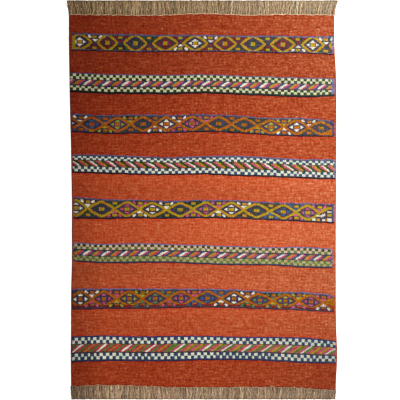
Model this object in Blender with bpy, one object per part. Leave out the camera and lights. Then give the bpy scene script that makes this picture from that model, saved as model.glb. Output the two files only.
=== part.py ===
"""Flat-woven kilim rug, lying flat on a floor, with a warp fringe at each end.

Metres, +Z up. X runs across the rug, Y along it towards its head, and the
underside lies on Z = 0 with the rug's box centred on the origin. The cloth is
one solid whose brocaded bands stand proud of the ground weave. At each end a
narrow twined strip, parted from the cloth by a hair, holds the warp ends.
"""

import math
import random
from collections import namedtuple

import bmesh
import bpy

MM = 0.001

# The weave: its thickness, how far its bands and selvedges stand proud of it,
# and how far its thickness wavers, with the waver's waves in radians per metre.
GROUND_THICK = 2.6 * MM
BAND_RISE = 1.5 * MM
SELVEDGE_RISE = 0.7 * MM
WAVER = 0.2 * MM
WAVER_ACROSS = 11.0
WAVER_ALONG = 7.0
WAVER_SLANT = 5.0

# In from each side edge: the selvedge's crest and foot, and the bands' ends.
SELVEDGE_CREST = 2.5 * MM
SELVEDGE_FOOT = 5.0 * MM
BAND_INSET_LEFT = 7.0 * MM
BAND_INSET_RIGHT = 9.5 * MM
BAND_SLOPE = 2.5 * MM
COLUMN_STEP = 54 * MM
PART_GAP = 0.3 * MM

# The side edges, as distances in mm from the rug's long middle line, at even
# steps from the head of the cloth to its foot.
Section = namedtuple("Section", "left right")
SECTIONS = (
    Section(left=501, right=489),
    Section(left=501, right=490),
    Section(left=499, right=496),
    Section(left=497, right=497),
    Section(left=494, right=497),
    Section(left=492, right=496),
    Section(left=490, right=496),
    Section(left=490, right=495),
    Section(left=490, right=495),
    Section(left=493, right=495),
    Section(left=493, right=496),
    Section(left=494, right=500),
    Section(left=493, right=495),
)

# The two ends, as distances in mm from the rug's short middle line, at even
# steps from the left edge to the right.
EndPoint = namedtuple("EndPoint", "head foot")
END_POINTS = (
    EndPoint(head=692, foot=694),
    EndPoint(head=690, foot=690),
    EndPoint(head=689, foot=696),
    EndPoint(head=695, foot=698),
    EndPoint(head=690, foot=697),
    EndPoint(head=692, foot=698),
    EndPoint(head=690, foot=708),
)

# The brocaded bands from head to foot, in mm. "line" is the band's middle line
# above the rug's short middle line and "tall" its height, both at even steps
# from the left edge to the right: the weft packed unevenly, so the bands drift.
Band = namedtuple("Band", "profile line tall")
BANDS = (
    Band("lozenge", (594, 589, 587, 587, 583, 583, 578), (68, 65, 68)),
    Band("check", (442, 435, 433, 434, 430, 424, 421), (74, 73, 69)),
    Band("lozenge", (290, 284, 286, 287, 281, 274, 267), (72, 70, 62)),
    Band("check", (139, 134, 130, 129, 127, 119, 114), (67, 69, 74)),
    Band("lozenge", (-28, -31, -33, -33, -36, -42, -49), (79, 70, 71)),
    Band("check", (-192, -197, -198, -202, -206, -213, -217), (72, 73, 73)),
    Band("lozenge", (-368, -365, -364, -364, -368, -375, -383), (76, 71, 69)),
    Band("check", (-554, -553, -553, -551, -553, -557, -565), (95, 90, 88)),
)

# How far each weave stands proud across its band: "at" is the share of the
# band's height above its middle line, "rise" the share of BAND_RISE. A lozenge
# band has a corded line along each edge. A check band also has a plump slanted
# stripe along its middle, between two sunken lines.
ProfilePoint = namedtuple("ProfilePoint", "at rise")
PROFILES = {
    "lozenge": (
        ProfilePoint(at=0.46, rise=1.0),
        ProfilePoint(at=0.37, rise=0.75),
    ),
    "check": (
        ProfilePoint(at=0.46, rise=0.9),
        ProfilePoint(at=0.22, rise=0.6),
        ProfilePoint(at=0.15, rise=1.0),
    ),
}

# The fringes. Each strand is a lock of warp ends, four-sided, tapering from its
# root in the twined strip to its tip, with its underside level on the floor.
STRIP_WIDTH = 5 * MM
STRIP_CREST = 3.4 * MM
STRAND_THICK = 2.4 * MM
TIP_THICK = 1.2 * MM
TIP_WIDTH = 2.8 * MM
ROOT_SHARE = 0.68
STRIP_COLUMNS = 24
STRANDS_PER_COLUMN = 6
STRAND_STEPS = 3
TIP_LINE = 744 * MM
TIP_SPREAD = 1.8 * MM
LEAN_SPREAD = 0.5 * MM
BEND = 1.6

# The tips are trimmed along TIP_LINE, that far from the rug's short middle line.
# "side" is +1 at the head and -1 at the foot, and "flare" is how far the outermost
# tips lean out, in mm. Each sway adds a slow sideways lean of the tips, in mm,
# with its wavelength in mm and its start in turns.
Sway = namedtuple("Sway", "lean wavelength start")
Fringe = namedtuple("Fringe", "name side seed flare sways")
FRINGES = (
    Fringe("fringe_head", 1, 11, 6.0, (Sway(4.5, 310, 0.10), Sway(3.5, 170, 0.55), Sway(1.6, 88, 0.3))),
    Fringe("fringe_foot", -1, 23, -3.5, (Sway(4.0, 350, 0.70), Sway(3.0, 190, 0.25), Sway(1.6, 95, 0.8))),
)

WOOL_BRICK = (0.36, 0.065, 0.022, 1.0)
WARP_GREIGE = (0.42, 0.32, 0.21, 1.0)


def clear_scene():
    """Remove every object, so that the rug stands alone."""
    for found in list(bpy.data.objects):
        bpy.data.objects.remove(found, do_unlink=True)


def along(values, share):
    """Read a smooth curve through evenly spaced values, at a share from 0 to 1."""
    last = len(values) - 1
    place = min(max(share, 0.0), 1.0) * last
    first = min(int(place), last - 1)
    part = place - first
    before = values[max(first - 1, 0)]
    start = values[first]
    end = values[first + 1]
    after = values[min(first + 2, last)]
    bow = 2 * before - 5 * start + 4 * end - after
    twist = -before + 3 * start - 3 * end + after
    return 0.5 * (2 * start + part * (end - before + part * (bow + part * twist)))


def side_edges(y):
    """The cloth's left and right edge, in metres, at this distance along the rug."""
    head = END_POINTS[0].head * MM
    foot = END_POINTS[0].foot * MM
    share = (head - y) / (head + foot)
    left = along([section.left for section in SECTIONS], share)
    right = along([section.right for section in SECTIONS], share)
    return -left * MM, right * MM


def end_line(side, share):
    """The cloth's end at the head (side 1) or foot (side -1), this share of the way across."""
    if side > 0:
        return along([point.head for point in END_POINTS], share) * MM
    return -along([point.foot for point in END_POINTS], share) * MM


def band_line(band, at, share):
    """How far along the rug a line of the band runs, this share of the way across."""
    return (along(band.line, share) + at * along(band.tall, share)) * MM


def cloth_rows():
    """Each row of the cloth's grid, head to foot: its place for a share across, and its rise."""
    rows = []
    for number, band in enumerate(BANDS):
        points = PROFILES[band.profile]
        foot = ProfilePoint(at=0.5, rise=0.0)
        upper = (foot,) + points
        lower = tuple(ProfilePoint(at=-point.at, rise=point.rise) for point in reversed(upper))
        if number:
            rows.append(None)
        for point in upper + lower:
            rows.append((lambda share, b=band, p=point: band_line(b, p.at, share), point.rise))
    rows = [(lambda share: end_line(1, share), 0.0), None] + rows
    rows = rows + [None, (lambda share: end_line(-1, share), 0.0)]
    for number, row in enumerate(rows):
        if row is None:
            upper = rows[number - 1][0]
            lower = rows[number + 1][0]
            rows[number] = (lambda share, a=upper, b=lower: (a(share) + b(share)) / 2, 0.0)
    return rows


# A column of the cloth's grid: the share of the way across, plus metres from
# there, and how much of a band's and a selvedge's rise it has.
Column = namedtuple("Column", "share plus band selvedge")


def cloth_columns():
    """Each column of the cloth's grid, from the left edge to the right."""
    left = [
        Column(0.0, 0.0, 0.0, 0.0),
        Column(0.0, SELVEDGE_CREST, 0.0, 1.0),
        Column(0.0, SELVEDGE_FOOT, 0.0, 0.0),
        Column(0.0, BAND_INSET_LEFT, 0.0, 0.0),
        Column(0.0, BAND_INSET_LEFT + BAND_SLOPE, 1.0, 0.0),
    ]
    count = round((SECTIONS[0].left + SECTIONS[0].right) * MM / COLUMN_STEP)
    middle = [Column(step / count, 0.0, 1.0, 0.0) for step in range(1, count)]
    right = [
        Column(1.0, -BAND_INSET_RIGHT - BAND_SLOPE, 1.0, 0.0),
        Column(1.0, -BAND_INSET_RIGHT, 0.0, 0.0),
        Column(1.0, -SELVEDGE_FOOT, 0.0, 0.0),
        Column(1.0, -SELVEDGE_CREST, 0.0, 1.0),
        Column(1.0, 0.0, 0.0, 0.0),
    ]
    return left + middle + right


def waver(x, y):
    """The slow rise and fall of a hand-beaten weave's thickness."""
    across = math.sin(WAVER_ACROSS * x + WAVER_SLANT * y)
    lengthwise = math.cos(WAVER_ALONG * y - WAVER_SLANT * x)
    return WAVER * across * lengthwise


def build_cloth():
    """One grid in the shape of the rug's upper face, thickened down to the floor."""
    rows = cloth_rows()
    columns = cloth_columns()
    bm = bmesh.new()
    bmesh.ops.create_grid(bm, x_segments=len(columns) - 1, y_segments=len(rows) - 1, size=0.5)
    for vert in bm.verts:
        column = columns[round((vert.co.x + 0.5) * (len(columns) - 1))]
        place, rise = rows[round((0.5 - vert.co.y) * (len(rows) - 1))]
        low, high = side_edges(place(column.share))
        x = low + (high - low) * column.share + column.plus
        y = place((x - low) / (high - low))
        z = GROUND_THICK + waver(x, y)
        z += BAND_RISE * rise * column.band + SELVEDGE_RISE * column.selvedge
        vert.co = (x, y, z)
    close_down_to_floor(bm)
    merge_underside(bm)
    return finish_mesh(bm, "cloth")


def close_down_to_floor(bm):
    """Extrude the open face down, so that it becomes a closed solid with its underside on Z = 0."""
    made = bmesh.ops.extrude_face_region(bm, geom=bm.faces[:])["geom"]
    for item in made:
        if isinstance(item, bmesh.types.BMVert):
            item.co.z = 0.0
    bmesh.ops.recalc_face_normals(bm, faces=bm.faces[:])


def merge_underside(bm):
    """Turn the level underside into one face, and lay that out in sound triangles."""
    level = [face for face in bm.faces if all(vert.co.z == 0.0 for vert in face.verts)]
    joined = bmesh.ops.dissolve_faces(bm, faces=level, use_verts=True)["region"]
    bmesh.ops.triangulate(bm, faces=joined, ngon_method="BEAUTY")


def tip_lean(fringe, x):
    """How far the tips lean sideways, in metres, where the strip is at this x."""
    lean = fringe.flare * x / (SECTIONS[0].left * MM)
    for sway in fringe.sways:
        turns = x / MM / sway.wavelength + sway.start
        lean += sway.lean * math.sin(2 * math.pi * turns)
    return lean * MM


def strip_share(number):
    """How far across the strip its outer edge's cut with this number lies, from 0 to 1."""
    cuts = 2 * STRANDS_PER_COLUMN + 1
    column, cut = divmod(number, cuts)
    if cut == 0:
        return column / STRIP_COLUMNS
    strand, far_side = divmod(cut - 1, 2)
    half = ROOT_SHARE / 2 if far_side else -ROOT_SHARE / 2
    return (column + (strand + 0.5 + half) / STRANDS_PER_COLUMN) / STRIP_COLUMNS


def build_strip(bm, fringe):
    """The twined strip: an inner edge along the cloth's end, an outer edge cut at each strand's root."""
    bmesh.ops.create_grid(bm, x_segments=STRIP_COLUMNS, y_segments=1, size=0.5)
    outer = [edge for edge in bm.edges if all(vert.co.y > 0 for vert in edge.verts)]
    bmesh.ops.subdivide_edges(bm, edges=outer, cuts=2 * STRANDS_PER_COLUMN)
    pieces = STRIP_COLUMNS * (2 * STRANDS_PER_COLUMN + 1)
    low, high = side_edges(end_line(fringe.side, 0.5))
    for vert in bm.verts:
        is_outer = vert.co.y > 0
        share = strip_share(round((vert.co.x + 0.5) * pieces)) if is_outer else vert.co.x + 0.5
        reach = PART_GAP + (STRIP_WIDTH if is_outer else 0.0)
        x = low + (high - low) * share
        y = end_line(fringe.side, share) + fringe.side * reach
        vert.co = (x, y, STRAND_THICK if is_outer else STRIP_CREST)
    close_down_to_floor(bm)


def strand_roots(bm, fringe):
    """The faces of the strip's outer side from which the strands grow, left to right."""
    roots = []
    for face in bm.faces:
        middle = face.calc_center_median()
        if face.normal.y * fringe.side < 0.5 or abs(face.normal.z) > 0.5:
            continue
        corners = sorted(vert.co.x for vert in face.verts)
        roots.append((corners[-1] - corners[0], middle.x, face))
    widest = max(width for width, _, _ in roots)
    strands = [(x, face) for width, x, face in roots if width > 0.9 * widest]
    return [face for _, face in sorted(strands, key=lambda pair: pair[0])]


def grow_strand(bm, face, fringe, chance):
    """Extrude one root face outwards in steps, bending and tapering, with its underside level."""
    root = face.calc_center_median()
    root_width = max(vert.co.x for vert in face.verts) - min(vert.co.x for vert in face.verts)
    length = TIP_LINE - abs(root.y) + chance.uniform(-TIP_SPREAD, TIP_SPREAD)
    lean = tip_lean(fringe, root.x) + chance.uniform(-LEAN_SPREAD, LEAN_SPREAD)
    for step in range(1, STRAND_STEPS + 1):
        share = step / STRAND_STEPS
        width = root_width + (TIP_WIDTH - root_width) * share
        top = STRAND_THICK + (TIP_THICK - STRAND_THICK) * share
        x = root.x + lean * share**BEND
        y = root.y + fringe.side * length * share
        centre = face.calc_center_median()
        face = bmesh.ops.extrude_discrete_faces(bm, faces=[face])["faces"][0]
        for vert in face.verts:
            half = width / 2 if vert.co.x > centre.x else -width / 2
            vert.co = (x + half, y, top if vert.co.z > 0 else 0.0)


def build_fringe(fringe):
    """A twined strip with its strands, as one solid."""
    bm = bmesh.new()
    chance = random.Random(fringe.seed)
    build_strip(bm, fringe)
    for face in strand_roots(bm, fringe):
        grow_strand(bm, face, fringe, chance)
    bmesh.ops.triangulate(bm, faces=bm.faces[:], ngon_method="BEAUTY")
    bmesh.ops.recalc_face_normals(bm, faces=bm.faces[:])
    return finish_mesh(bm, fringe.name)


def finish_mesh(bm, name):
    """Put the shape into a named object."""
    mesh = bpy.data.meshes.new(name)
    bm.to_mesh(mesh)
    bm.free()
    return bpy.data.objects.new(name, mesh)


def dress(piece, colour, roughness):
    """Give the piece its own plain yarn material."""
    material = bpy.data.materials.new(piece.name)
    material.use_nodes = True
    shader = material.node_tree.nodes["Principled BSDF"]
    shader.inputs["Base Color"].default_value = colour
    shader.inputs["Roughness"].default_value = roughness
    shader.inputs["Metallic"].default_value = 0.0
    piece.data.materials.append(material)


def centre_on_origin(pieces):
    """Shift all pieces alike, so that the rug's box is centred on X = 0 and Y = 0."""
    for axis in (0, 1):
        places = [vert.co[axis] for piece in pieces for vert in piece.data.vertices]
        shift = (min(places) + max(places)) / 2
        for piece in pieces:
            for vert in piece.data.vertices:
                vert.co[axis] -= shift


def main():
    """Build the rug in a collection of its own."""
    clear_scene()
    rug = bpy.data.collections.new("kilim_rug")
    bpy.context.scene.collection.children.link(rug)
    cloth = build_cloth()
    fringes = [build_fringe(fringe) for fringe in FRINGES]
    dress(cloth, WOOL_BRICK, 0.9)
    for fringe in fringes:
        dress(fringe, WARP_GREIGE, 0.85)
    centre_on_origin([cloth] + fringes)
    for piece in [cloth] + fringes:
        rug.objects.link(piece)


main()
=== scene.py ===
"""Looks of a hand-woven kilim rug, lying flat on a pale floor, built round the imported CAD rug.

The ground is one closed sheet of weft-faced cloth with its warps as ribs. Eight brocaded bands lie in
it, each a closed strip of plump stitches whose dyes follow a weaver's chart. Wrapped cords run along
both sides, a twined line holds the warps at each end, and loose warp yarns make the fringes.
Metres, +Z up, +Y towards the head of the rug.
"""

import logging
import math
from bisect import bisect_right
from collections.abc import Sequence
from dataclasses import dataclass, field, replace
from enum import Enum
from functools import cached_property

import bmesh
import bpy
import numpy as np
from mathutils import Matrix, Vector


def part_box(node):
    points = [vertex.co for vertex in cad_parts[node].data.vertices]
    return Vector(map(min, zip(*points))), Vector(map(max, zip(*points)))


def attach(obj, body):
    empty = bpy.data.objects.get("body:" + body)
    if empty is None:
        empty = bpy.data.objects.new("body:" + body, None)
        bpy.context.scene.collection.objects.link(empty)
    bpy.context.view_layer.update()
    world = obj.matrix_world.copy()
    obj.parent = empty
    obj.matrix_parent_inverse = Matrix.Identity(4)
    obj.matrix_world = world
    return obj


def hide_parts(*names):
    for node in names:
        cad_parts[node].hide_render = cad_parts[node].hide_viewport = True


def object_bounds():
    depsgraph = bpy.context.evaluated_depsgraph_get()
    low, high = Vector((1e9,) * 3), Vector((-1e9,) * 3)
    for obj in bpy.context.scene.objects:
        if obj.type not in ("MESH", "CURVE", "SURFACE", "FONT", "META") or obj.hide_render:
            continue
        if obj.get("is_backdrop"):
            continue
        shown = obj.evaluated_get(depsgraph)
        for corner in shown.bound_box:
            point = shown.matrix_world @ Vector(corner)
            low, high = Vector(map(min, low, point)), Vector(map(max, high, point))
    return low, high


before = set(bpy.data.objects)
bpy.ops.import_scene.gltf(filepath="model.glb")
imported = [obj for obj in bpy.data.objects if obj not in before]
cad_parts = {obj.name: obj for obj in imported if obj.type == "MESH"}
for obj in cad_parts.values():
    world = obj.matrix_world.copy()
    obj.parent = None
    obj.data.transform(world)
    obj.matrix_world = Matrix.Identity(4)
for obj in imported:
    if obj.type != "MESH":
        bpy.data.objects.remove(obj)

LOG = logging.getLogger("kilim")

MM = 0.001
BAKE_MAP = "OFBake"
THREAD_MAP = "threads"
DYE_MAP = "dye"
STITCHES = 246  # across a band
STITCH = 3.98  # the width of one, in mm


class Dye(Enum):
    """The rug's wools, as sRGB in the middle of the rug."""

    BRICK = (166, 70, 36)
    CARMINE = (160, 44, 40)
    NIGHT = (44, 50, 92)
    NAVY = (54, 54, 74)
    INDIGO = (57, 47, 64)
    PLUM = (76, 48, 46)
    # Painted shadow: the near-black foot rows of each band, the shade under its raised foot edge over its
    # dark border yarn.
    INK = (24, 16, 22)
    PEWTER = (96, 90, 118)
    SLATE = (77, 82, 115)
    LAVENDER = (108, 104, 146)
    MUSTARD = (160, 123, 16)
    PEAR = (150, 140, 20)
    AMBER = (190, 106, 30)
    OCHRE = (144, 82, 8)
    ORANGE = (142, 80, 8)
    FLAME = (176, 76, 16)
    CREAM = (188, 186, 152)
    MILK = (200, 199, 178)
    WHITE = (206, 202, 186)
    BOTTLE = (46, 60, 26)
    SPRUCE = (38, 44, 40)
    GREEN = (40, 64, 38)
    SAGE = (84, 120, 76)
    LEAF = (150, 140, 44)
    ROSE = (176, 74, 112)
    CORAL = (170, 66, 84)
    CRIMSON = (160, 46, 62)
    MADDER = (112, 22, 18)
    GOLD = (160, 120, 16)
    TEAL = (46, 71, 97)
    PETROL = (36, 62, 78)
    BLUE = (50, 84, 116)
    BEIGE = (188, 162, 136)
    STRAW = (156, 142, 98)
    MEADOW = (86, 108, 52)
    MOSS = (50, 62, 20)
    OLIVE = (90, 104, 48)
    FLAX = (218, 184, 142)
    GREIGE = (172, 146, 112)
    DRAB = (122, 96, 66)
    UMBER = (66, 43, 22)

    @property
    def linear(self) -> np.ndarray:
        """The wool's colour in linear light, with an alpha of 1."""
        part = np.array(self.value) / 255.0
        light = np.where(part > 0.04045, ((part + 0.055) / 1.055) ** 2.4, part / 12.92)
        return np.append(light, 1.0)


def shares(**parts: float) -> tuple[tuple[Dye, float], ...]:
    """Wools by name, each with its share of a mixture or its width in a leaf."""
    return tuple((Dye[name], part) for name, part in parts.items())


def wools(names: str) -> tuple[Dye, ...]:
    """The wools with these names, in order."""
    return tuple(Dye[name] for name in names.split())


MOTTLES: dict[Dye, tuple[tuple[Dye, float], ...]] = {
    Dye.MUSTARD: shares(PEAR=0.25, AMBER=0.08),
    Dye.ORANGE: shares(FLAME=0.22, MUSTARD=0.08),
    Dye.OCHRE: shares(FLAME=0.18, MUSTARD=0.06),
    Dye.NAVY: shares(INDIGO=0.2, PLUM=0.16),
    Dye.INDIGO: shares(NAVY=0.16, PLUM=0.2),
    Dye.PLUM: shares(INDIGO=0.2, MADDER=0.08),
    Dye.PEWTER: shares(SLATE=0.2, PLUM=0.12),
    Dye.SLATE: shares(LAVENDER=0.2, PEWTER=0.2),
    Dye.LAVENDER: shares(SLATE=0.25, PEWTER=0.15),
    Dye.TEAL: shares(PETROL=0.3, INDIGO=0.14),
    Dye.GREEN: shares(BOTTLE=0.3, PETROL=0.1),
    Dye.SAGE: shares(GREEN=0.2, OLIVE=0.15),
    Dye.CORAL: shares(ROSE=0.22, CRIMSON=0.12),
    Dye.ROSE: shares(CORAL=0.25),
    Dye.MADDER: shares(PLUM=0.18, CARMINE=0.12),
}
BACK_MIX = shares(NAVY=0.45, BRICK=0.3, BEIGE=0.25)


def mottled(dye: Dye, draw: float) -> Dye:
    """The wool of a stitch, or one of those carded in with it where the draw falls low.

    Args:
        dye: the wool that the chart asks for.
        draw: a random number from 0 to 1.

    Returns:
        The wool that is used.
    """
    for other, share in MOTTLES.get(dye, ()):
        if draw < share:
            return other
        draw -= share
    return dye


def opaque(colours: np.ndarray) -> np.ndarray:
    """The same colours with an alpha of 1."""
    colours[..., 3] = 1.0
    return colours


def along(values: Sequence[float], share: np.ndarray | float) -> np.ndarray:
    """Read a smooth curve through evenly spaced values.

    Args:
        values: the curve's values at even steps.
        share: how far along the curve to read it, from 0 to 1.

    Returns:
        The curve's value at each share.
    """
    values = np.asarray(values, float)
    last = len(values) - 1
    place = np.clip(share, 0.0, 1.0) * last
    first = np.minimum(place.astype(int), last - 1)
    part = place - first
    before = values[np.maximum(first - 1, 0)]
    start = values[first]
    end = values[first + 1]
    after = values[np.minimum(first + 2, last)]
    bow = 2 * before - 5 * start + 4 * end - after
    twist = -before + 3 * start - 3 * end + after
    return 0.5 * (2 * start + part * (end - before + part * (bow + part * twist)))


def wandering(rng: np.random.Generator, knots: int, share: np.ndarray, size: float) -> np.ndarray:
    """A slow random line: smooth through this many random knots, of this size."""
    return along(rng.normal(0.0, size, knots), share)


class RightEnd(Enum):
    """How a chain of lozenges stops at the right edge."""

    CUT = "the motifs run on to the edge"
    WEDGE = "a solid wedge opens from the last crossing"
    CORNER = "the lower corner is filled solid"
    RISING = "one line rises from the last crossing, over odd blocks"


@dataclass(frozen=True)
class Patch:
    """One block of a wool. Its edges are in mm right of and above a crossing."""

    wool: Dye
    left: float
    right: float
    low: float
    high: float
    rise: float = 0.0

    def holds(self, aside: float, up: float) -> bool:
        """Tell whether the block covers this place; its rise tips it up towards the right."""
        tipped = up - self.rise * (aside - (self.left + self.right) / 2)
        return self.left < aside < self.right and self.low < tipped < self.high


ODD_BLOCKS = (
    Patch(Dye.MUSTARD, 31.8, 46.0, 14.0, 23.5),
    Patch(Dye.WHITE, 31.8, 46.0, 3.3, 9.2),
    Patch(Dye.MUSTARD, 31.8, 47.0, -11.0, -1.7),
    Patch(Dye.WHITE, 31.8, 46.0, -29.0, -16.7),
    Patch(Dye.WHITE, 6.7, 23.4, -11.8, -3.4, 0.35),
    Patch(Dye.WHITE, -8.6, 6.7, -13.8, -9.0),
    Patch(Dye.WHITE, -27.6, -15.9, -29.0, -20.5),
    Patch(Dye.MUSTARD, -8.6, 1.8, -29.0, -19.0),
    Patch(Dye.WHITE, 8.4, 20.0, -29.0, -23.0),
    Patch(Dye.OCHRE, 23.4, 30.0, -28.0, -19.0),
)


@dataclass(frozen=True)
class Wedge:
    """A tapering motif: where it starts, how long it is, its half width there and how that changes."""

    start: float
    length: float
    half: float
    slope: float

    def holds(self, out: float, away: float) -> bool:
        """Tell whether it covers a place this far out and this far from its middle line, in mm."""
        past = out - self.start
        return 0.0 < past < self.length and away < self.half + past * self.slope


@dataclass(frozen=True)
class EndShapes:
    """The shapes that end a chain of lozenges, in mm and as slopes.

    The strip, which stops short of the band's edge, and the foot corner, as (wide, high), close the left
    end. The rest belong to the choices of RightEnd, measured from the last crossing. Beside a rising
    line, the usual motifs show down to "motif_low" and to "motif_off" under the line, as far right as
    "last_motif", and the wool under them is dark below a line of its own.
    """

    strip_wide: float = 13.0
    strip_short: float = 10.0
    foot_corner: tuple[float, float] = (30.0, 9.0)
    wedge_middle: float = -1.5
    wedge_slope: float = 0.48
    wedge_lined_from: float = 14.0
    wedge_lining: tuple[float, float] = (6.0, 4.5)
    corner_from: float = 48.0
    corner_slope: float = 0.55
    line_long: float = 33.0
    line_half: float = 4.4
    line_slope: float = 0.56
    last_motif: float = 31.8
    motif_low: float = -9.0
    motif_slope: float = 0.62
    motif_off: float = 4.0
    dark_low: float = -6.0
    dark_slope: float = 0.7

    def closes_start(self, from_left: float, up: float, inner: float) -> bool:
        """Tell whether a place is in the solid strip or foot corner of a closed left end."""
        wide, high = self.foot_corner
        in_strip = from_left < self.strip_wide and up < inner - self.strip_short
        return in_strip or from_left < wide and up < high - inner

    def in_wedge(self, aside: float, up: float) -> bool:
        """Tell whether a place is in the wedge that opens from the last crossing."""
        return aside > 0 and abs(up - self.wedge_middle) < aside * self.wedge_slope

    def wedge_is_lined(self, aside: float, up: float, inner: float) -> bool:
        """Tell whether a place in the wedge takes the lining's wool."""
        low, edge = self.wedge_lining
        near_edge = up < low - inner or up < edge - aside * self.wedge_slope
        return near_edge and aside > self.wedge_lined_from

    def in_corner(self, aside: float, up: float, inner: float) -> bool:
        """Tell whether a place is in the solid lower corner."""
        past = aside - self.corner_from
        return past > 0 and up < past * self.corner_slope - inner

    def rising_dye(self, aside: float, up: float, chart: "LozengeChart") -> Dye | None:
        """The wool of the rising line, the odd blocks and the dark round them.

        Args:
            aside: the distance right of the last crossing.
            up: the distance above it.
            chart: the chart whose wools are used.

        Returns:
            The wool, or None where the usual motifs show.
        """
        line = aside * self.line_slope
        if 0 <= aside < self.line_long and abs(up - line) < self.line_half:
            return chart.outline
        above = up > self.motif_low - max(-aside, 0.0) * self.motif_slope and up > line - self.motif_off
        if above and aside < self.last_motif:
            return None
        found = next((block.wool for block in ODD_BLOCKS if block.holds(aside, up)), None)
        is_dark = aside > 0 or up < aside * self.dark_slope + self.dark_low
        return found or (chart.heart if is_dark else None)


@dataclass(frozen=True)
class LozengeChart:
    """Crossing zigzags that make a chain of lozenges, charted in stitches.

    Each lozenge has a square at its heart, a bar on both sides of that, and a wedge of its accent wool
    off each side: "cap" above and below, "arrow" beyond the bars. Above and below each crossing stand
    a block, a wedge ("fan"), two slanting dots and a dark neck. "block" is how far left and right the
    block reaches, "block_off" its gap to the border, and "short" is how far off the border a motif
    stops. "crossings" are stitch columns, "lead" is the crossing off the left edge, "gap" is how much
    narrower than its crossings each lozenge is, "peak" its height as a share of the band's, "thick" the
    width of the outlines, and all other sizes are in mm.
    """

    outline: Dye
    crossings: tuple[int, ...]
    accents: tuple[Dye, ...]
    fields: tuple[Dye, ...]
    head_border: tuple[Dye, ...]
    foot_border: tuple[Dye, ...]
    lead: int | None = None
    rows: int = 31
    gap: float = 1.6
    peak: float = 0.9
    roundness: float = 1.2
    thick: float = 7.8
    heart_columns: int = 4
    heart_high: float = 6.4
    heart: Dye = Dye.INDIGO
    bar: Dye = Dye.NIGHT
    end_border: int = 2
    end_wool: Dye = Dye.SLATE
    start_border: int = 0
    closed_start: bool = False
    right_end: RightEnd = RightEnd.CUT
    foot_lining: Dye | None = None
    lining_high: float = 6.5
    lining_from: float = 29.0
    cap: Wedge = Wedge(8.0, 7.8, 10.8, -1.2)
    arrow: Wedge = Wedge(5.0, 12.0, 6.2, -0.46)
    fan: Wedge = Wedge(3.2, math.inf, 2.4, 0.75)
    fan_short: float = 14.4
    block: tuple[float, float] = (-6.0, 10.0)
    block_high: float = 10.8
    block_off: float = 2.6
    dot_middle: float = 20.5
    dot_half: float = 4.6
    dot_high: float = 9.8
    dot_level: float = 5.0
    dot_slant: float = 0.45
    neck_half: float = 10.7
    neck_short: float = 8.0
    shapes: EndShapes = EndShapes()

    def dye(self, column: int, row: int, columns: int, step: float) -> Dye:
        """The wool of one stitch.

        Args:
            column: the stitch's number from the left.
            row: the stitch's number from the head edge.
            columns: how many stitches the band is wide.
            step: the height of a row in mm.

        Returns:
            The wool that the chart gives it.
        """
        from_foot = self.rows - 1 - row
        if row < len(self.head_border):
            return self.head_border[row]
        if from_foot < len(self.foot_border):
            return self.foot_border[-1 - from_foot]
        if column < self.start_border or column >= columns - self.end_border:
            return self.end_wool
        up = (self.rows / 2 - row - 0.5) * step
        inner = (self.rows / 2 - len(self.foot_border)) * step
        nearest = min(self.crossings, key=lambda crossing: abs(crossing - column))
        aside = (column - nearest) * STITCH
        ended = self.end_dye(aside, up, inner) if nearest == self.crossings[-1] else None
        if ended:
            return ended
        if self.closed_start and self.shapes.closes_start(column * STITCH, up, inner):
            return self.outline
        number = bisect_right(self.crossings, column)
        start, end = self.lozenge_ends(number)
        middle = self.snapped((start + end + 1) / 2)
        away = abs(column + 0.5 - middle) * STITCH
        depth = self.depth(away, abs(up), (end - start) / 2 * STITCH - self.gap, inner * self.peak)
        lined = self.foot_lining is not None and up < self.lining_high - inner
        if abs(depth) <= self.thick / 2:
            return self.foot_lining if lined else self.outline
        if depth < 0:
            return self.inside(away, abs(up), self.accents[number])
        side = self.crossings.index(nearest) + int(up < 0)
        return self.outside(aside, abs(up), inner, lined, side)

    def depth(self, away: float, up: float, wide: float, high: float) -> float:
        """How far a place lies outside a lozenge's line in mm, or inside it where below 0.

        Args:
            away: the distance aside of the lozenge's middle.
            up: the distance above or below it.
            wide: half the lozenge's width.
            high: half its height.

        Returns:
            The distance, by the slope of the line there.
        """
        power = self.roundness
        across, lengthwise = max(away / wide, 1e-6), max(up / high, 1e-6)
        total = across**power + lengthwise**power
        slope = math.hypot(across ** (power - 1) / wide, lengthwise ** (power - 1) / high)
        return (total ** (1 / power) - 1) / (total ** (1 / power - 1) * slope)

    def snapped(self, middle: float) -> float:
        """A lozenge's middle, set so that its heart is a whole number of stitches wide."""
        half = (self.heart_columns % 2) / 2
        return round(middle - half) + half

    def lozenge_ends(self, number: int) -> tuple[float, float]:
        """The crossings on both sides of the lozenge with this number, in stitch columns.

        Args:
            number: the lozenge's number from the left.

        Returns:
            The crossings at its left and right end, in stitch columns.
        """
        pitch = (self.crossings[-1] - self.crossings[0]) / (len(self.crossings) - 1)
        lead = self.crossings[0] - pitch if self.lead is None else self.lead
        places = (lead, *self.crossings, self.crossings[-1] + pitch)
        return places[number], places[number + 1]

    def inside(self, away: float, up: float, accent: Dye) -> Dye:
        """The wool inside a lozenge, at mm aside of and above its heart.

        Args:
            away: the distance aside of the heart's middle.
            up: the distance above or below it.
            accent: the lozenge's accent wool.

        Returns:
            The wool.
        """
        heart = self.heart_columns * STITCH / 2
        if away < heart and up < self.heart_high:
            return self.outline
        if self.cap.holds(up, away) or self.arrow.holds(away - heart, up):
            return accent
        if heart < away < heart + self.arrow.start and up < self.heart_high:
            return self.bar
        return Dye.PLUM if accent is Dye.MADDER else self.heart

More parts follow.
